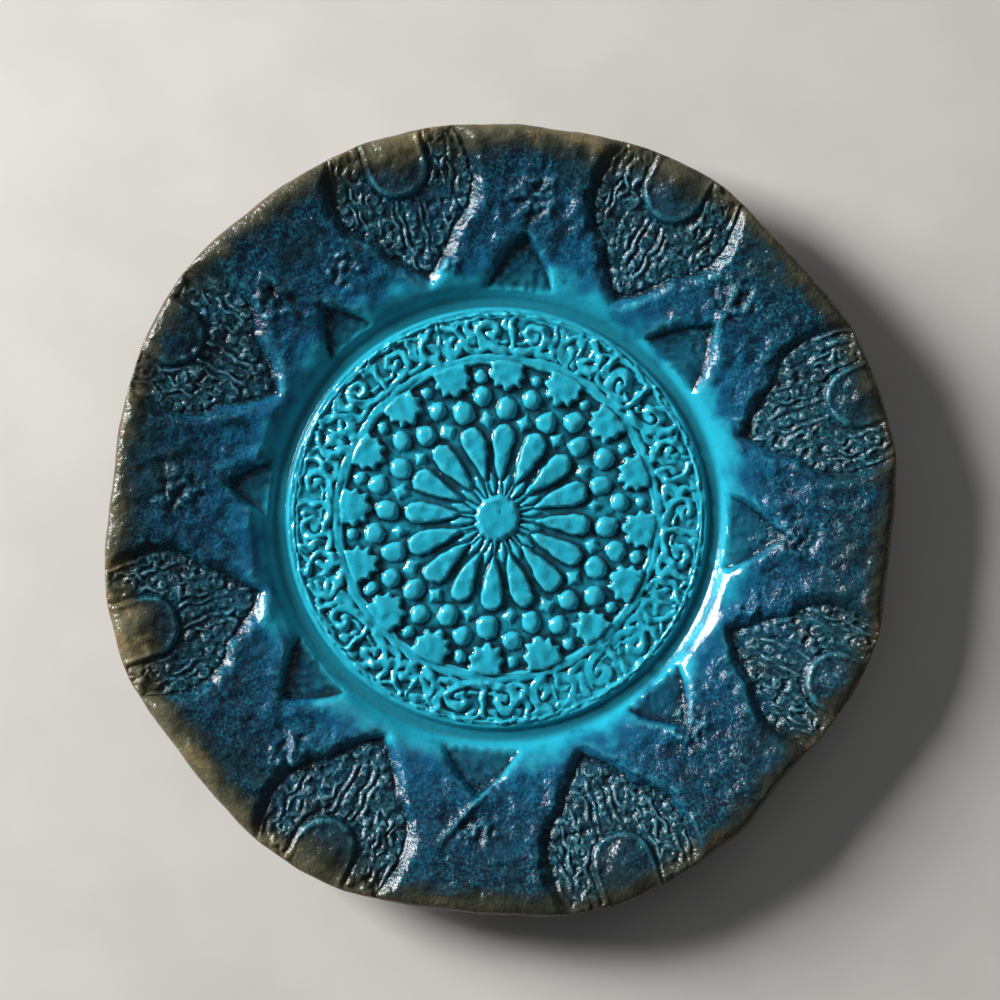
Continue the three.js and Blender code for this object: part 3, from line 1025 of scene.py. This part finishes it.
def move_to(body: bpy.types.Object, x: Array, y: Array, z: Array) -> None:
    """Move a mesh's vertices to new places."""
    body.data.vertices.foreach_set("co", np.stack((x, y, z), axis=1).ravel())


def store_marks(body: bpy.types.Object, marks: dict[str, Array]) -> None:
    """Store values on a mesh's vertices under their names, for the glaze to read."""
    for name, values in marks.items():
        attribute = body.data.attributes.new(name, "FLOAT", "POINT")
        attribute.data.foreach_set("value", values.astype(np.float32))


@dataclass
class PlateBody:
    """The whole plate: a pressed face and a turned back, joined and thinned."""

    section: DishSection = field(default_factory=DishSection)
    cells: int = 600
    triangle_limit: int = 195_000
    foot_outer: float = 72.0
    foot_width: float = 9.0
    foot_height: float = 3.8
    foot_draft: float = 1.4
    foot_round: float = 0.8
    seam_share: float = 0.012
    weld_gap: float = 0.01
    shade_and_pooling_breadth: float = 7.0
    crest_breadth: float = 2.2
    glaze_turn: float = 1.1
    wear_over: tuple[float, float] = (118.0, 146.0)
    edge_wear: float = 0.45
    edge_nicks: float = 0.15
    back_swell: float = 0.35
    back_dimple: float = 0.14
    back_turn: float = 2.0
    seed: int = 7
    burns: Pairs = (
        (0, 0.3), (18, 0.2), (40, 0.4), (61, 0.5), (82, 0.95), (106, 0.85), (120, 0.75), (132, 0.5),
        (150, 0.2), (165, 0.6), (180, 0.7), (197, 1.0), (225, 0.95), (243, 0.6), (262, 0.45),
        (290, 0.3), (315, 0.35), (334, 0.2),
    )
    stamps: tuple[tuple[float, float, float], ...] = (
        (18.5, 0.126, 0.696), (61.5, 0.062, 0.65), (106, 0.062, 0.605), (150.5, 0.094, 0.65),
        (197.5, 0.057, 0.605), (242.5, 0.057, 0.65), (290, 0.076, 0.612), (334, 0.126, 0.676),
    )
    arches: tuple[tuple[float, float, float], ...] = (
        (41.5, 0.318, 0.225), (84.5, 0.286, 0.207), (129.5, 0.203, 0.168), (172.5, 0.203, 0.168),
        (220, 0.254, 0.218), (266, 0.242, 0.232), (312.3, 0.254, 0.207), (356.5, 0.299, 0.232),
    )

    def spread_grid(self, side: Array, up: Array) -> tuple[Array, Array, Array]:
        """Spread a square grid over the round face, evenly along the section.

        Args:
            side: Places across the square, from -1 to 1.
            up: Places up the square, from -1 to 1.

        Returns:
            Places across and up on the round plate, and heights of its section.
        """
        radii, heights = self.section.face()
        along = np.concatenate(([0.0], np.cumsum(np.hypot(np.diff(radii), np.diff(heights)))))
        share = np.maximum(np.abs(side), np.abs(up))
        wide = np.abs(side) >= np.abs(up)
        safe_side = np.where(side == 0, 1.0, side)
        safe_up = np.where(up == 0, 1.0, up)
        turn = np.where(wide, up / safe_side * math.pi / 4, math.pi / 2 - side / safe_up * math.pi / 4)
        turn = turn + np.where(wide, side < 0, up < 0) * math.pi
        radius = np.interp(share * along[-1], along, radii)
        height = np.interp(share * along[-1], along, heights)
        return radius * np.cos(turn), radius * np.sin(turn), height

    def sculpt(self, x: Array, y: Array, height: Array) -> dict[str, Array]:
        """Press everything into the face.

        Args:
            x: Places across, already swung.
            y: Places up, already swung.
            height: Heights of the turned section there.

        Returns:
            The final heights and the shares of stamp, tongue, arch and rough skin.
        """
        noise = Noise(self.seed)
        radius = np.hypot(x, y)
        still = self.section.edge.still_radius
        clay = RimClay()
        on_rim = blend(still - 1.0, still + 9.0, radius)
        fade_at_edge = blend(self.section.edge.radius + 3, self.section.edge.radius - 9, radius)
        surface = height + clay.lumps(x, y, noise) * on_rim * fade_at_edge
        in_well = radius < self.section.medallion_radius + 1.5
        medallion = Medallion(self.section)
        surface[in_well] += medallion.relief(x[in_well], y[in_well], Noise(self.seed + 1))
        zones = {name: np.zeros(x.shape) for name in ("stamp", "tongue", "arch")}
        zones["rough"] = clay.roughness(x, y, noise) * on_rim
        pattern = LeafPattern()
        tools = [PointedArch(*places, self.section) for places in self.arches]
        tools += [LeafStamp(*places, self.section, pattern) for places in self.stamps]
        for tool in tools:
            result = tool.press(x, y, surface, noise)
            near = result.pop("near")
            surface[near] = result.pop("height")
            for name, share in result.items():
                zones[name][near] = np.maximum(zones[name][near], share)
        return {"height": surface, **zones}

    def face(self) -> bpy.types.Object:
        """Make the pressed face from a grid.

        Returns:
            The face as an open mesh, in millimetres.
        """
        bpy.ops.object.select_all(action="DESELECT")
        bpy.ops.mesh.primitive_grid_add(
            x_subdivisions=self.cells, y_subdivisions=self.cells, size=2, location=(0, 0, 0)
        )
        face = bpy.context.object
        face.name = "glazed_plate"
        side, up = places_of(face)[:2].round(6)
        x, y, height = self.spread_grid(side, up)
        x, y = self.section.edge.swing(x, y)
        made = self.sculpt(x, y, height)
        from_border = 1.0 - np.maximum(np.abs(side), np.abs(up))
        made["height"] = height + (made["height"] - height) * blend(0.0, self.seam_share, from_border)
        heights = made.pop("height")
        # Hollowness at a wide and a narrow breadth: the glaze darkens hollows with it as pooled glaze
        # and painted shade, and pales crests.
        made["pooled_glaze_and_shade"] = self.hollowness(heights.reshape(self.cells + 1, -1), self.shade_and_pooling_breadth)
        made["crest"] = self.hollowness(heights.reshape(self.cells + 1, -1), self.crest_breadth)
        move_to(face, x, y, heights)
        store_marks(face, made)
        face.data.update()
        return face

    @staticmethod
    def hollowness(heights: Array, spread: float) -> Array:
        """Tell how far each place lies below its surroundings.

        Args:
            heights: Heights on the square grid.
            spread: Breadth of the surroundings in grid cells.

        Returns:
            Depth in millimetres, negative on what stands out.
        """
        reach = int(2.5 * spread)
        weight = np.exp(-0.5 * (np.arange(-reach, reach + 1) / spread) ** 2)
        weight /= weight.sum()
        mean = np.pad(heights, reach, mode="edge")
        rows = sum(w * mean[:, i : i + heights.shape[1]] for i, w in enumerate(weight))
        mean = sum(w * rows[i : i + heights.shape[0]] for i, w in enumerate(weight))
        return (mean - heights).ravel()

    def back(self) -> bpy.types.Object:
        """Turn the back from a circle: edge roll, underside, foot ring and recess.

        Returns:
            The back as an open mesh, in millimetres.
        """
        section, edge = self.section, self.section.edge
        bpy.ops.object.select_all(action="DESELECT")
        bpy.ops.mesh.primitive_circle_add(
            vertices=4 * self.cells, radius=edge.radius, location=(0, 0, section.equator)
        )
        back = bpy.context.object
        bpy.ops.object.transform_apply(location=True, rotation=False, scale=False)
        bpy.ops.object.mode_set(mode="EDIT")
        bpy.ops.mesh.select_all(action="SELECT")
        radius, height = edge.radius, section.equator
        for next_radius, next_height in self.back_section():
            bpy.ops.mesh.extrude_edges_move(
                TRANSFORM_OT_translate={"value": (0, 0, next_height - height)}
            )
            factor = next_radius / radius
            bpy.ops.transform.resize(value=(factor, factor, 1), center_override=(0, 0, next_height))
            radius, height = next_radius, next_height
        bpy.ops.mesh.merge(type="CENTER")
        bpy.ops.object.mode_set(mode="OBJECT")
        x, y, z = places_of(back)
        x, y = edge.swing(x, y)
        move_to(back, x, y, z)
        return back

    def back_section(self) -> list[tuple[float, float]]:
        """List the radii and heights of the back's rings, from the edge inward."""
        section, edge = self.section, self.section.edge
        half = section.rim_thickness / 2
        middle = edge.radius - section.edge_round
        rings = []
        for turn in np.radians((12, 24, 36, 48, 60, 72, 84)):
            out, down = section.edge_round * math.cos(turn), half * math.sin(turn)
            rings.append((middle + out, section.equator - down))
        for radius in (138.0, 130.0, 121.0, 112.0, 103.0, 95.0):
            rings.append((radius, section.rim_top(radius) - section.rim_thickness))
        outer, inner = self.foot_outer, self.foot_outer - self.foot_width
        top, bevel = self.foot_height, self.foot_round
        rings += [
            (84.0, 9.4), (outer + self.foot_draft + 1.6, top + 0.9),
            (outer + self.foot_draft, top - 0.2), (outer + 0.2, bevel), (outer - bevel, 0.0),
            (inner + bevel, 0.0), (inner - 0.2, bevel),
            (inner - self.foot_draft, top - 0.4), (inner - self.foot_draft - 1.2, top),
            (50.0, top), (36.0, top), (22.0, top), (9.0, top), (2.0, top),
        ]
        return rings

    def build(self) -> bpy.types.Object:
        """Join face and back into one closed mesh, thin it and bring it to the frame's metres.

        Returns:
            The finished body.
        """
        back, face = self.back(), self.face()
        bpy.ops.object.select_all(action="DESELECT")
        back.select_set(True)
        face.select_set(True)
        bpy.context.view_layer.objects.active = face
        bpy.ops.object.join()
        bpy.ops.object.mode_set(mode="EDIT")
        bpy.ops.mesh.select_all(action="SELECT")
        bpy.ops.mesh.remove_doubles(threshold=self.weld_gap)
        bpy.ops.mesh.normals_make_consistent(inside=False)
        bpy.ops.object.mode_set(mode="OBJECT")
        body = bpy.context.object
        self.work_by_hand(body)
        self.thin_glaze_and_highlight(body)
        self.mark_zones(body)
        self.place(body)
        bpy.ops.object.shade_smooth()
        return body

    def work_by_hand(self, body: bpy.types.Object) -> None:
        """Leave the hand's unevenness on the edge and the back of the turned shape."""
        x, y, z = places_of(body)
        noise = Noise(self.seed + 2)
        radius = np.maximum(np.hypot(x, y), 1e-9)
        inward = self.edge_wear + self.edge_wear * noise.at(x, y, 15.0)
        inward = (inward + self.edge_nicks * noise.at(x, y, 6.0)) * blend(*self.wear_over, radius)
        factor = 1.0 - np.maximum(inward, 0.0) / radius
        under = blend(self.back_turn, -self.back_turn, z - self.middle_height(radius))
        off_foot = blend(self.foot_outer + 2, self.foot_outer + 10, radius)
        off_foot = np.maximum(off_foot, blend(self.foot_outer - self.foot_width - 3, 50.0, radius))
        uneven = self.back_swell * noise.at(x + 90, y, 26.0)
        uneven = uneven + self.back_dimple * noise.at(x, y + 90, 9.0)
        z = z + uneven * under * off_foot
        move_to(body, x * factor, y * factor, z)

    def middle_height(self, radius: Array) -> Array:
        """Height halfway through the wall at each radius."""
        section = self.section
        well = (section.well_floor + self.foot_height) / 2
        rim = section.rim_top(radius) - section.rim_thickness / 2
        return well + (rim - well) * blend(self.foot_outer, section.edge.still_radius, radius)

    def thin_glaze_and_highlight(self, body: bpy.types.Object) -> None:
        """Thin the mesh to its limit, keeping its triangles where the relief is fine."""
        body.data.calc_loop_triangles()
        share = self.triangle_limit / len(body.data.loop_triangles)
        thinner = body.modifiers.new("thinner", "DECIMATE")
        thinner.ratio = min(share, 1.0)
        bpy.context.view_layer.objects.active = body
        bpy.ops.object.modifier_apply(modifier=thinner.name)

    def mark_zones(self, body: bpy.types.Object) -> None:
        """Store how far out and how far under each place lies, for the glaze to follow."""
        x, y, z = places_of(body)
        radius = np.hypot(x, y)
        still = self.section.edge.still_radius
        beyond = np.maximum(radius - still, 0.0) / (1.0 + self.section.edge.stretch(x, y))
        angle = np.degrees(np.arctan2(y, x)) % FULL_TURN
        burn_angles, burns = np.array(self.burns).T
        store_marks(body, {
            "reach": np.where(radius > still, still + beyond, radius) / self.section.edge.radius,
            "under": blend(self.glaze_turn, -self.glaze_turn, z - self.middle_height(radius)),
            "burn": np.interp(angle, burn_angles, burns, period=FULL_TURN),
        })

    def place(self, body: bpy.types.Object) -> None:
        """Bring the mesh to metres, with the middle of its outline on the frame's axis."""
        x, y, z = places_of(body)
        x = x - (x.min() + x.max()) / 2
        y = y - (y.min() + y.max()) / 2
        move_to(body, x * MILLIMETRE, y * MILLIMETRE, z * MILLIMETRE)
        body.data.update()


def paint(red: int, green: int, blue: int) -> Colour:
    """Turn a colour as seen, in steps of 255, into the shader's own scale."""
    def linear(step: int) -> float:
        """Undo the screen's curve for one channel."""
        share = step / 255
        return share / 12.92 if share <= 0.04045 else ((share + 0.055) / 1.055) ** 2.4

    return linear(red), linear(green), linear(blue), 1.0


class NodeSheet:
    """A material's nodes, with short ways to add the ones that a finish needs."""

    def __init__(self, name: str) -> None:
        """Start a material.

        Args:
            name: Its name.
        """
        self.material = bpy.data.materials.new(name)
        self.material.use_nodes = True
        self.tree = self.material.node_tree
        self.shader = self.tree.nodes["Principled BSDF"]
        self.place = self.tree.nodes.new("ShaderNodeTexCoord").outputs["Object"]

    def feed(self, socket: Socket, value: object) -> None:
        """Link a socket to another, or set its value."""
        if isinstance(value, Socket):
            self.tree.links.new(value, socket)
        else:
            socket.default_value = value

    def math(self, operation: str, *values: object) -> Socket:
        """Add a sum of numbers.

        Args:
            operation: Its kind, as Blender names it.
            *values: Sockets or numbers.

        Returns:
            The result's socket.
        """
        node = self.tree.nodes.new("ShaderNodeMath")
        node.operation = operation
        for socket, value in zip(node.inputs, values):
            self.feed(socket, value)
        return node.outputs[0]

    def times(self, first: object, *others: object) -> Socket:
        """Multiply values.

        Args:
            first: Socket or number.
            *others: More of them.

        Returns:
            The product.
        """
        for other in others:
            first = self.math("MULTIPLY", first, other)
        return first

    def plus(self, first: object, second: object) -> Socket:
        """Add two values."""
        return self.math("ADD", first, second)

    def scaled(self, value: object, factor: object, offset: object) -> Socket:
        """Multiply a value by a factor and add an offset."""
        return self.math("MULTIPLY_ADD", value, factor, offset)

    def rise(
        self, value: object, low: float, high: float, to_low: float = 0.0, to_high: float = 1.0
    ) -> Socket:
        """Map a value smoothly from one range to another.

        Args:
            value: The socket to map.
            low: Start of its range.
            high: End of its range.
            to_low: What the start becomes.
            to_high: What the end becomes.

        Returns:
            The mapped value's socket.
        """
        node = self.tree.nodes.new("ShaderNodeMapRange")
        node.interpolation_type = "SMOOTHSTEP"
        for name, given in (("Value", value), ("From Min", low), ("From Max", high),
                            ("To Min", to_low), ("To Max", to_high)):
            self.feed(node.inputs[name], given)
        return node.outputs["Result"]

    def mix(self, share: object, first: object, second: object) -> Socket:
        """Mix two colours.

        Args:
            share: Share of the second.
            first: Socket or colour.
            second: Socket or colour.

        Returns:
            The mixed colour's socket.
        """
        node = self.tree.nodes.new("ShaderNodeMix")
        node.data_type = "RGBA"
        for index, given in ((0, share), (6, first), (7, second)):
            self.feed(node.inputs[index], given)
        return node.outputs[2]

    def cover(self, colour: object, over: Colour, *shares: object) -> Socket:
        """Lay a colour over another.

        Args:
            colour: Socket or colour below.
            over: The colour laid over it.
            *shares: Sockets or numbers whose product says how far it covers.

        Returns:
            The covered colour's socket.
        """
        return self.mix(self.times(*shares), colour, over)

    def noise(self, size: float, detail: float, shift: float, roughness: float = 0.5) -> Socket:
        """Add cloudy unevenness.

        Args:
            size: Breadth of a cloud in millimetres.
            detail: How many finer layers it has.
            shift: Distance that sets it apart from others of its size.
            roughness: Strength of the finer layers.

        Returns:
            Its value's socket, around a half.
        """
        shifted = self.tree.nodes.new("ShaderNodeVectorMath")
        shifted.operation = "ADD"
        self.tree.links.new(self.place, shifted.inputs[0])
        shifted.inputs[1].default_value = (shift, shift * 0.7, shift * 0.3)
        node = self.tree.nodes.new("ShaderNodeTexNoise")
        self.tree.links.new(shifted.outputs[0], node.inputs["Vector"])
        node.inputs["Scale"].default_value = 1.0 / (size * MILLIMETRE)
        node.inputs["Detail"].default_value = detail
        node.inputs["Roughness"].default_value = roughness
        return node.outputs["Fac"]

    def patches(
        self, size: float, low: float, high: float, shift: float,
        roughness: float = 0.5, detail: float = 3.0,
    ) -> Socket:
        """Scatter soft patches.

        Args:
            size: Breadth of a patch in millimetres.
            low: Unevenness at which a patch begins.
            high: Unevenness at which it is full.
            shift: Distance that sets them apart from others of their size.
            roughness: Strength of the finer layers.
            detail: How many finer layers there are.

        Returns:
            The patches' socket, from 0 to 1.
        """
        return self.rise(self.noise(size, detail, shift, roughness), low, high)

    def mark(self, name: str) -> Socket:
        """Read a value that the mesh carries under a name."""
        node = self.tree.nodes.new("ShaderNodeAttribute")
        node.attribute_name = name
        return node.outputs["Fac"]

    def ramp(self, value: object, stops: tuple[tuple[float, Colour], ...]) -> Socket:
        """Colour a value.

        Args:
            value: The socket to colour.
            stops: Places from 0 to 1 and their colours.

        Returns:
            The colour's socket.
        """
        node = self.tree.nodes.new("ShaderNodeValToRGB")
        stripe = node.color_ramp
        stripe.interpolation = "EASE"
        while len(stripe.elements) < len(stops):
            stripe.elements.new(0.5)
        for element, (at, colour) in zip(stripe.elements, stops):
            element.position = at
            element.color = colour
        self.feed(node.inputs["Fac"], value)
        return node.outputs["Color"]

    def bump(self, height: object, depth: float, below: object = None) -> Socket:
        """Turn a value into a raised skin.

        Args:
            height: The socket that rises and falls.
            depth: Millimetres from its lowest to its highest.
            below: Skin that this one lies on.

        Returns:
            The skin's socket.
        """
        node = self.tree.nodes.new("ShaderNodeBump")
        node.inputs["Distance"].default_value = depth * MILLIMETRE
        self.feed(node.inputs["Height"], height)
        if below is not None:
            self.feed(node.inputs["Normal"], below)
        return node.outputs["Normal"]


@dataclass(frozen=True)
class RunningGlaze:
    """Turquoise glaze that runs to cobalt and navy on the rim and burns to olive at the edge."""

    turquoise: Colour = paint(34, 168, 194)
    pale_turquoise: Colour = paint(80, 198, 212)
    teal: Colour = paint(14, 70, 90)
    blue: Colour = paint(16, 86, 122)
    cobalt: Colour = paint(14, 54, 84)
    navy: Colour = paint(13, 35, 54)
    moss: Colour = paint(25, 52, 54)
    ink: Colour = paint(7, 13, 28)
    slate: Colour = paint(32, 44, 48)
    olive: Colour = paint(46, 49, 38)
    khaki: Colour = paint(100, 98, 74)
    ochre: Colour = paint(124, 112, 80)
    rust: Colour = paint(92, 58, 36)
    # Pale crest colour for the stamps: partly thinned glaze, partly a painted highlight.
    pale_crest_and_highlight: Colour = paint(120, 158, 176)
    clay: Colour = paint(182, 148, 112)
    pale_clay: Colour = paint(206, 180, 148)
    dark_clay: Colour = paint(128, 92, 64)
    well_roughness: float = 0.17
    rim_roughness: float = 0.21
    clay_roughness: float = 0.85
    refraction: float = 1.48
    peel_depth: float = 0.5
    grit_depth: float = 0.4
    grain_depth: float = 0.25

    def make(self) -> bpy.types.Material:
        """Build the glaze.

        Returns:
            The material.
        """
        sheet = NodeSheet("running_glaze")
        reach = sheet.mark("reach")
        clouds = sheet.noise(26.0, 3.0, 0.3)
        patches = sheet.noise(9.0, 3.0, 1.7)
        run = sheet.plus(reach, sheet.scaled(clouds, 0.2, -0.1))
        run = sheet.plus(run, sheet.scaled(patches, 0.12, -0.05))
        flow = sheet.ramp(run, (
            (0.0, self.turquoise), (0.585, self.turquoise), (0.655, self.blue), (0.75, self.cobalt),
            (0.92, self.navy), (1.0, self.navy),
        ))
        on_rim = sheet.rise(reach, 0.62, 0.7)
        colour = self.pooled_and_shaded(sheet, flow, reach, on_rim)
        colour = self.mottled(sheet, colour, reach, on_rim)
        colour = self.burnt(sheet, colour, reach, patches)
        bare = self.bareness(sheet, reach, clouds)
        colour = sheet.mix(bare, colour, self.clay_colour(sheet))
        sheet.feed(sheet.shader.inputs["Base Color"], colour)
        self.gloss(sheet, reach, bare)
        self.skin(sheet, reach, bare)
        return sheet.material

    def pooled_and_shaded(self, sheet: NodeSheet, flow: Socket, reach: Socket, on_rim: Socket) -> Socket:
        """Tint the stamps and arches, darken hollows with pooled glaze and painted shade, and pale what
        stands out: thinned glaze, and on the stamps partly a painted highlight.
        """
        stamp, crest = sheet.mark("stamp"), sheet.mark("crest")
        colour = sheet.cover(flow, self.moss, stamp, 0.6)
        colour = sheet.cover(colour, self.teal, sheet.mark("arch"), 0.82)
        # Painted shade: hollows darkened towards ink, partly glaze pooled there and partly the shade
        # that falls in them.
        hollow_pool_and_shade = sheet.rise(sheet.mark("pooled_glaze_and_shade"), 0.15, 1.1)
        # Strength of that painted shade and pooling: full in the medallion, weaker from its groove
        # outward, stronger again on the rim.
        hollow_darkening_strength = sheet.scaled(on_rim, 0.44, sheet.rise(reach, 0.5, 0.53, 0.8, 0.46))
        colour = sheet.cover(colour, self.ink, hollow_pool_and_shade, hollow_darkening_strength)
        # Painted shade in narrow hollows, with some pooled glaze.
        colour = sheet.cover(colour, self.ink, sheet.rise(crest, 0.06, 0.5), 0.7)
        # Crests paled: thinned glaze everywhere, and on the stamps a paler crest that is partly a
        # painted highlight.
        thin_glaze_and_highlight = sheet.rise(crest, -0.08, -0.4)
        colour = sheet.cover(colour, self.pale_turquoise, thin_glaze_and_highlight, sheet.rise(reach, 0.9, 0.5, 0.2, 0.3))
        return sheet.cover(colour, self.pale_crest_and_highlight, thin_glaze_and_highlight, stamp, 0.5)

    def mottled(self, sheet: NodeSheet, colour: Socket, reach: Socket, on_rim: Socket) -> Socket:
        """Mottle the glaze with grains and patches, most of all on the rim."""
        grain = sheet.patches(1.3, 0.42, 0.7, 3.1, 0.7)
        colour = sheet.cover(colour, self.turquoise, grain, sheet.scaled(on_rim, 0.3, 0.03))
        outer = sheet.rise(reach, 0.74, 0.9)
        colour = sheet.cover(colour, self.moss, sheet.patches(22.0, 0.46, 0.66, 9.1), outer, 0.7)
        colour = sheet.cover(colour, self.blue, sheet.patches(17.0, 0.54, 0.7, 4.9), on_rim, 0.35)
        dark = sheet.patches(1.7, 0.5, 0.75, 5.9, 0.7)
        colour = sheet.cover(colour, self.ink, dark, sheet.scaled(on_rim, 0.6, 0.12))
        return sheet.cover(colour, self.ink, sheet.patches(8.0, 0.5, 0.66, 7.3, 0.6), on_rim, 0.62)

    def burnt(self, sheet: NodeSheet, colour: Socket, reach: Socket, patches: Socket) -> Socket:
        """Burn the glaze to olive, khaki and rust towards the outer edge, by how hot each side was."""
        burn, tongue = sheet.mark("burn"), sheet.mark("tongue")
        colour = sheet.cover(colour, self.slate, tongue, sheet.scaled(burn, 0.45, 0.1))
        wavy = sheet.plus(reach, sheet.scaled(patches, 0.1, -0.05))
        wavy = sheet.plus(wavy, sheet.scaled(burn, 0.035, -0.03))
        wavy = sheet.plus(wavy, sheet.times(tongue, burn, 0.03))
        colour = sheet.cover(colour, self.olive, sheet.rise(wavy, 0.905, 0.955), 0.92)
        colour = sheet.cover(colour, self.khaki, sheet.rise(wavy, 0.94, 0.99), burn, 0.8)
        blotch = sheet.patches(14.0, 0.5, 0.64, 8.3, 0.6, 4.0)
        colour = sheet.cover(colour, self.ochre, blotch, burn, sheet.rise(wavy, 0.93, 0.985), 0.8)
        streak = sheet.patches(5.0, 0.45, 0.6, 11.0, 0.6, 4.0)
        return sheet.cover(colour, self.rust, streak, sheet.rise(reach, 0.975, 1.0), 0.7)

    def bareness(self, sheet: NodeSheet, reach: Socket, clouds: Socket) -> Socket:
        """Share of bare clay: the back, inside a wavy glaze line."""
        line = sheet.plus(reach, sheet.scaled(clouds, 0.14, -0.07))
        return sheet.times(sheet.rise(line, 0.9, 0.885), sheet.rise(sheet.mark("under"), 0.7, 0.95))

    def clay_colour(self, sheet: NodeSheet) -> Socket:
        """Colour the bare clay with grog, soot and paler wear."""
        colour = sheet.mix(sheet.patches(30.0, 0.35, 0.65, 2.2, 0.5, 4.0), self.clay, self.pale_clay)
        grog = sheet.patches(0.9, 0.6, 0.72, 6.4, 0.7, 2.0)
        colour = sheet.cover(colour, self.dark_clay, grog, 0.6)
        soot = sheet.patches(12.0, 0.55, 0.75, 9.4, 0.5, 4.0)
        return sheet.cover(colour, self.dark_clay, soot, 0.35)

    def gloss(self, sheet: NodeSheet, reach: Socket, bare: Socket) -> None:
        """Set the gloss: wet in the well, a little duller on the rim, none on bare clay."""
        base = sheet.rise(reach, 0.58, 0.66, self.well_roughness, self.rim_roughness)
        glazed = sheet.plus(base, sheet.scaled(sheet.noise(4.0, 3.0, 4.4), 0.16, -0.08))
        gap = sheet.math("SUBTRACT", self.clay_roughness, glazed)
        sheet.feed(sheet.shader.inputs["Roughness"], sheet.scaled(gap, bare, glazed))
        sheet.shader.inputs["IOR"].default_value = self.refraction

    def skin(self, sheet: NodeSheet, reach: Socket, bare: Socket) -> None:
        """Give the glaze its orange peel, its pitted patches and the clay its grain."""
        on_rim = sheet.rise(reach, 0.6, 0.68)
        peel = sheet.times(sheet.noise(3.2, 2.0, 12.1), sheet.scaled(on_rim, 0.7, 0.3))
        amount = sheet.plus(sheet.scaled(on_rim, 0.8, 0.08), sheet.mark("rough"))
        grit = sheet.times(sheet.noise(1.35, 3.0, 13.7, 0.6), amount)
        grain = sheet.times(sheet.noise(0.7, 3.0, 15.2, 0.7), bare)
        gritty = sheet.bump(grit, self.grit_depth, sheet.bump(peel, self.peel_depth))
        sheet.feed(sheet.shader.inputs["Normal"], sheet.bump(grain, self.grain_depth, gritty))


@dataclass(frozen=True)
class Lamp:
    """One soft lamp: its name, its place and size in metres, and its power."""

    name: str
    at: tuple[float, float, float]
    size: tuple[float, float]
    watts: float


@dataclass
class Studio:
    """A pale floor, soft light from the upper left and a camera over the lying plate."""

    floor_size: float = 8.0
    camera_distance: float = 1.262
    camera_lift: float = 88.0
    lens: float = 120.0
    target: tuple[float, float, float] = (-0.0003, 0.0072, 0.02)
    floor_roughness: float = 0.7
    sky_colour: Colour = (0.9, 0.93, 1.0, 1.0)
    sky_strength: float = 0.08
    lamps: tuple[Lamp, ...] = (
        Lamp("window", (-1.98, 0.92, 0.98), (0.8, 1.1), 118.0),
        Lamp("overhead", (0.5, 1.1, 1.5), (1.6, 1.6), 2.0),
    )

    def build(self) -> None:
        """Put up the floor, the lamps, the sky and the camera."""
        bpy.ops.object.select_all(action="DESELECT")
        bpy.ops.mesh.primitive_plane_add(size=self.floor_size, location=(0, 0, 0))
        floor = bpy.context.object
        floor.name = "studio_floor"
        sheet = NodeSheet("pale_floor")
        tone = sheet.patches(60.0, 0.3, 0.7, 1.0, 0.5, 4.0)
        colour = sheet.mix(tone, paint(206, 203, 197), paint(214, 211, 205))
        sheet.feed(sheet.shader.inputs["Base Color"], colour)
        sheet.shader.inputs["Roughness"].default_value = self.floor_roughness
        floor.data.materials.append(sheet.material)
        for lamp in self.lamps:
            self.hang(lamp)
        world = bpy.data.worlds.new("studio")
        world.use_nodes = True
        sky = world.node_tree.nodes["Background"]
        sky.inputs["Color"].default_value = self.sky_colour
        sky.inputs["Strength"].default_value = self.sky_strength
        bpy.context.scene.world = world
        bpy.context.scene.view_settings.view_transform = "Standard"
        self.camera()

    def hang(self, lamp: Lamp) -> None:
        """Hang a soft lamp that shines on the plate.

        Args:
            lamp: What it is like and where it hangs.
        """
        bpy.ops.object.light_add(type="AREA", location=lamp.at)
        light = bpy.context.object
        light.name = lamp.name
        light.data.shape = "RECTANGLE"
        light.data.size, light.data.size_y = lamp.size
        light.data.energy = lamp.watts
        light.rotation_euler = (-Vector(lamp.at)).to_track_quat("-Z", "Y").to_euler()

    def camera(self) -> None:
        """Look down on the plate as the photograph does, upright from its front."""
        lift = math.radians(self.camera_lift)
        offset = Vector((0.0, -math.cos(lift), math.sin(lift))) * self.camera_distance
        bpy.ops.object.camera_add(location=Vector(self.target) + offset)
        camera = bpy.context.object
        camera.data.lens = self.lens
        camera.rotation_euler = (-offset).to_track_quat("-Z", "Y").to_euler()
        bpy.context.scene.camera = camera


def main() -> None:
    """Build the plate, dress it, put up the studio and log its triangle count."""
    plate = PlateBody().build()
    plate.data.materials.clear()
    plate.data.materials.append(RunningGlaze().make())
    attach(plate, "root")
    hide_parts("plate")
    plate.data.calc_loop_triangles()
    log.info("%s: %d triangles", plate.name, len(plate.data.loop_triangles))
    Studio().build()
    log.info("studio: floor, two lamps, sky and camera")


if __name__ == "__main__":
    logging.basicConfig(level=logging.INFO, format="%(name)s %(message)s")
    main()
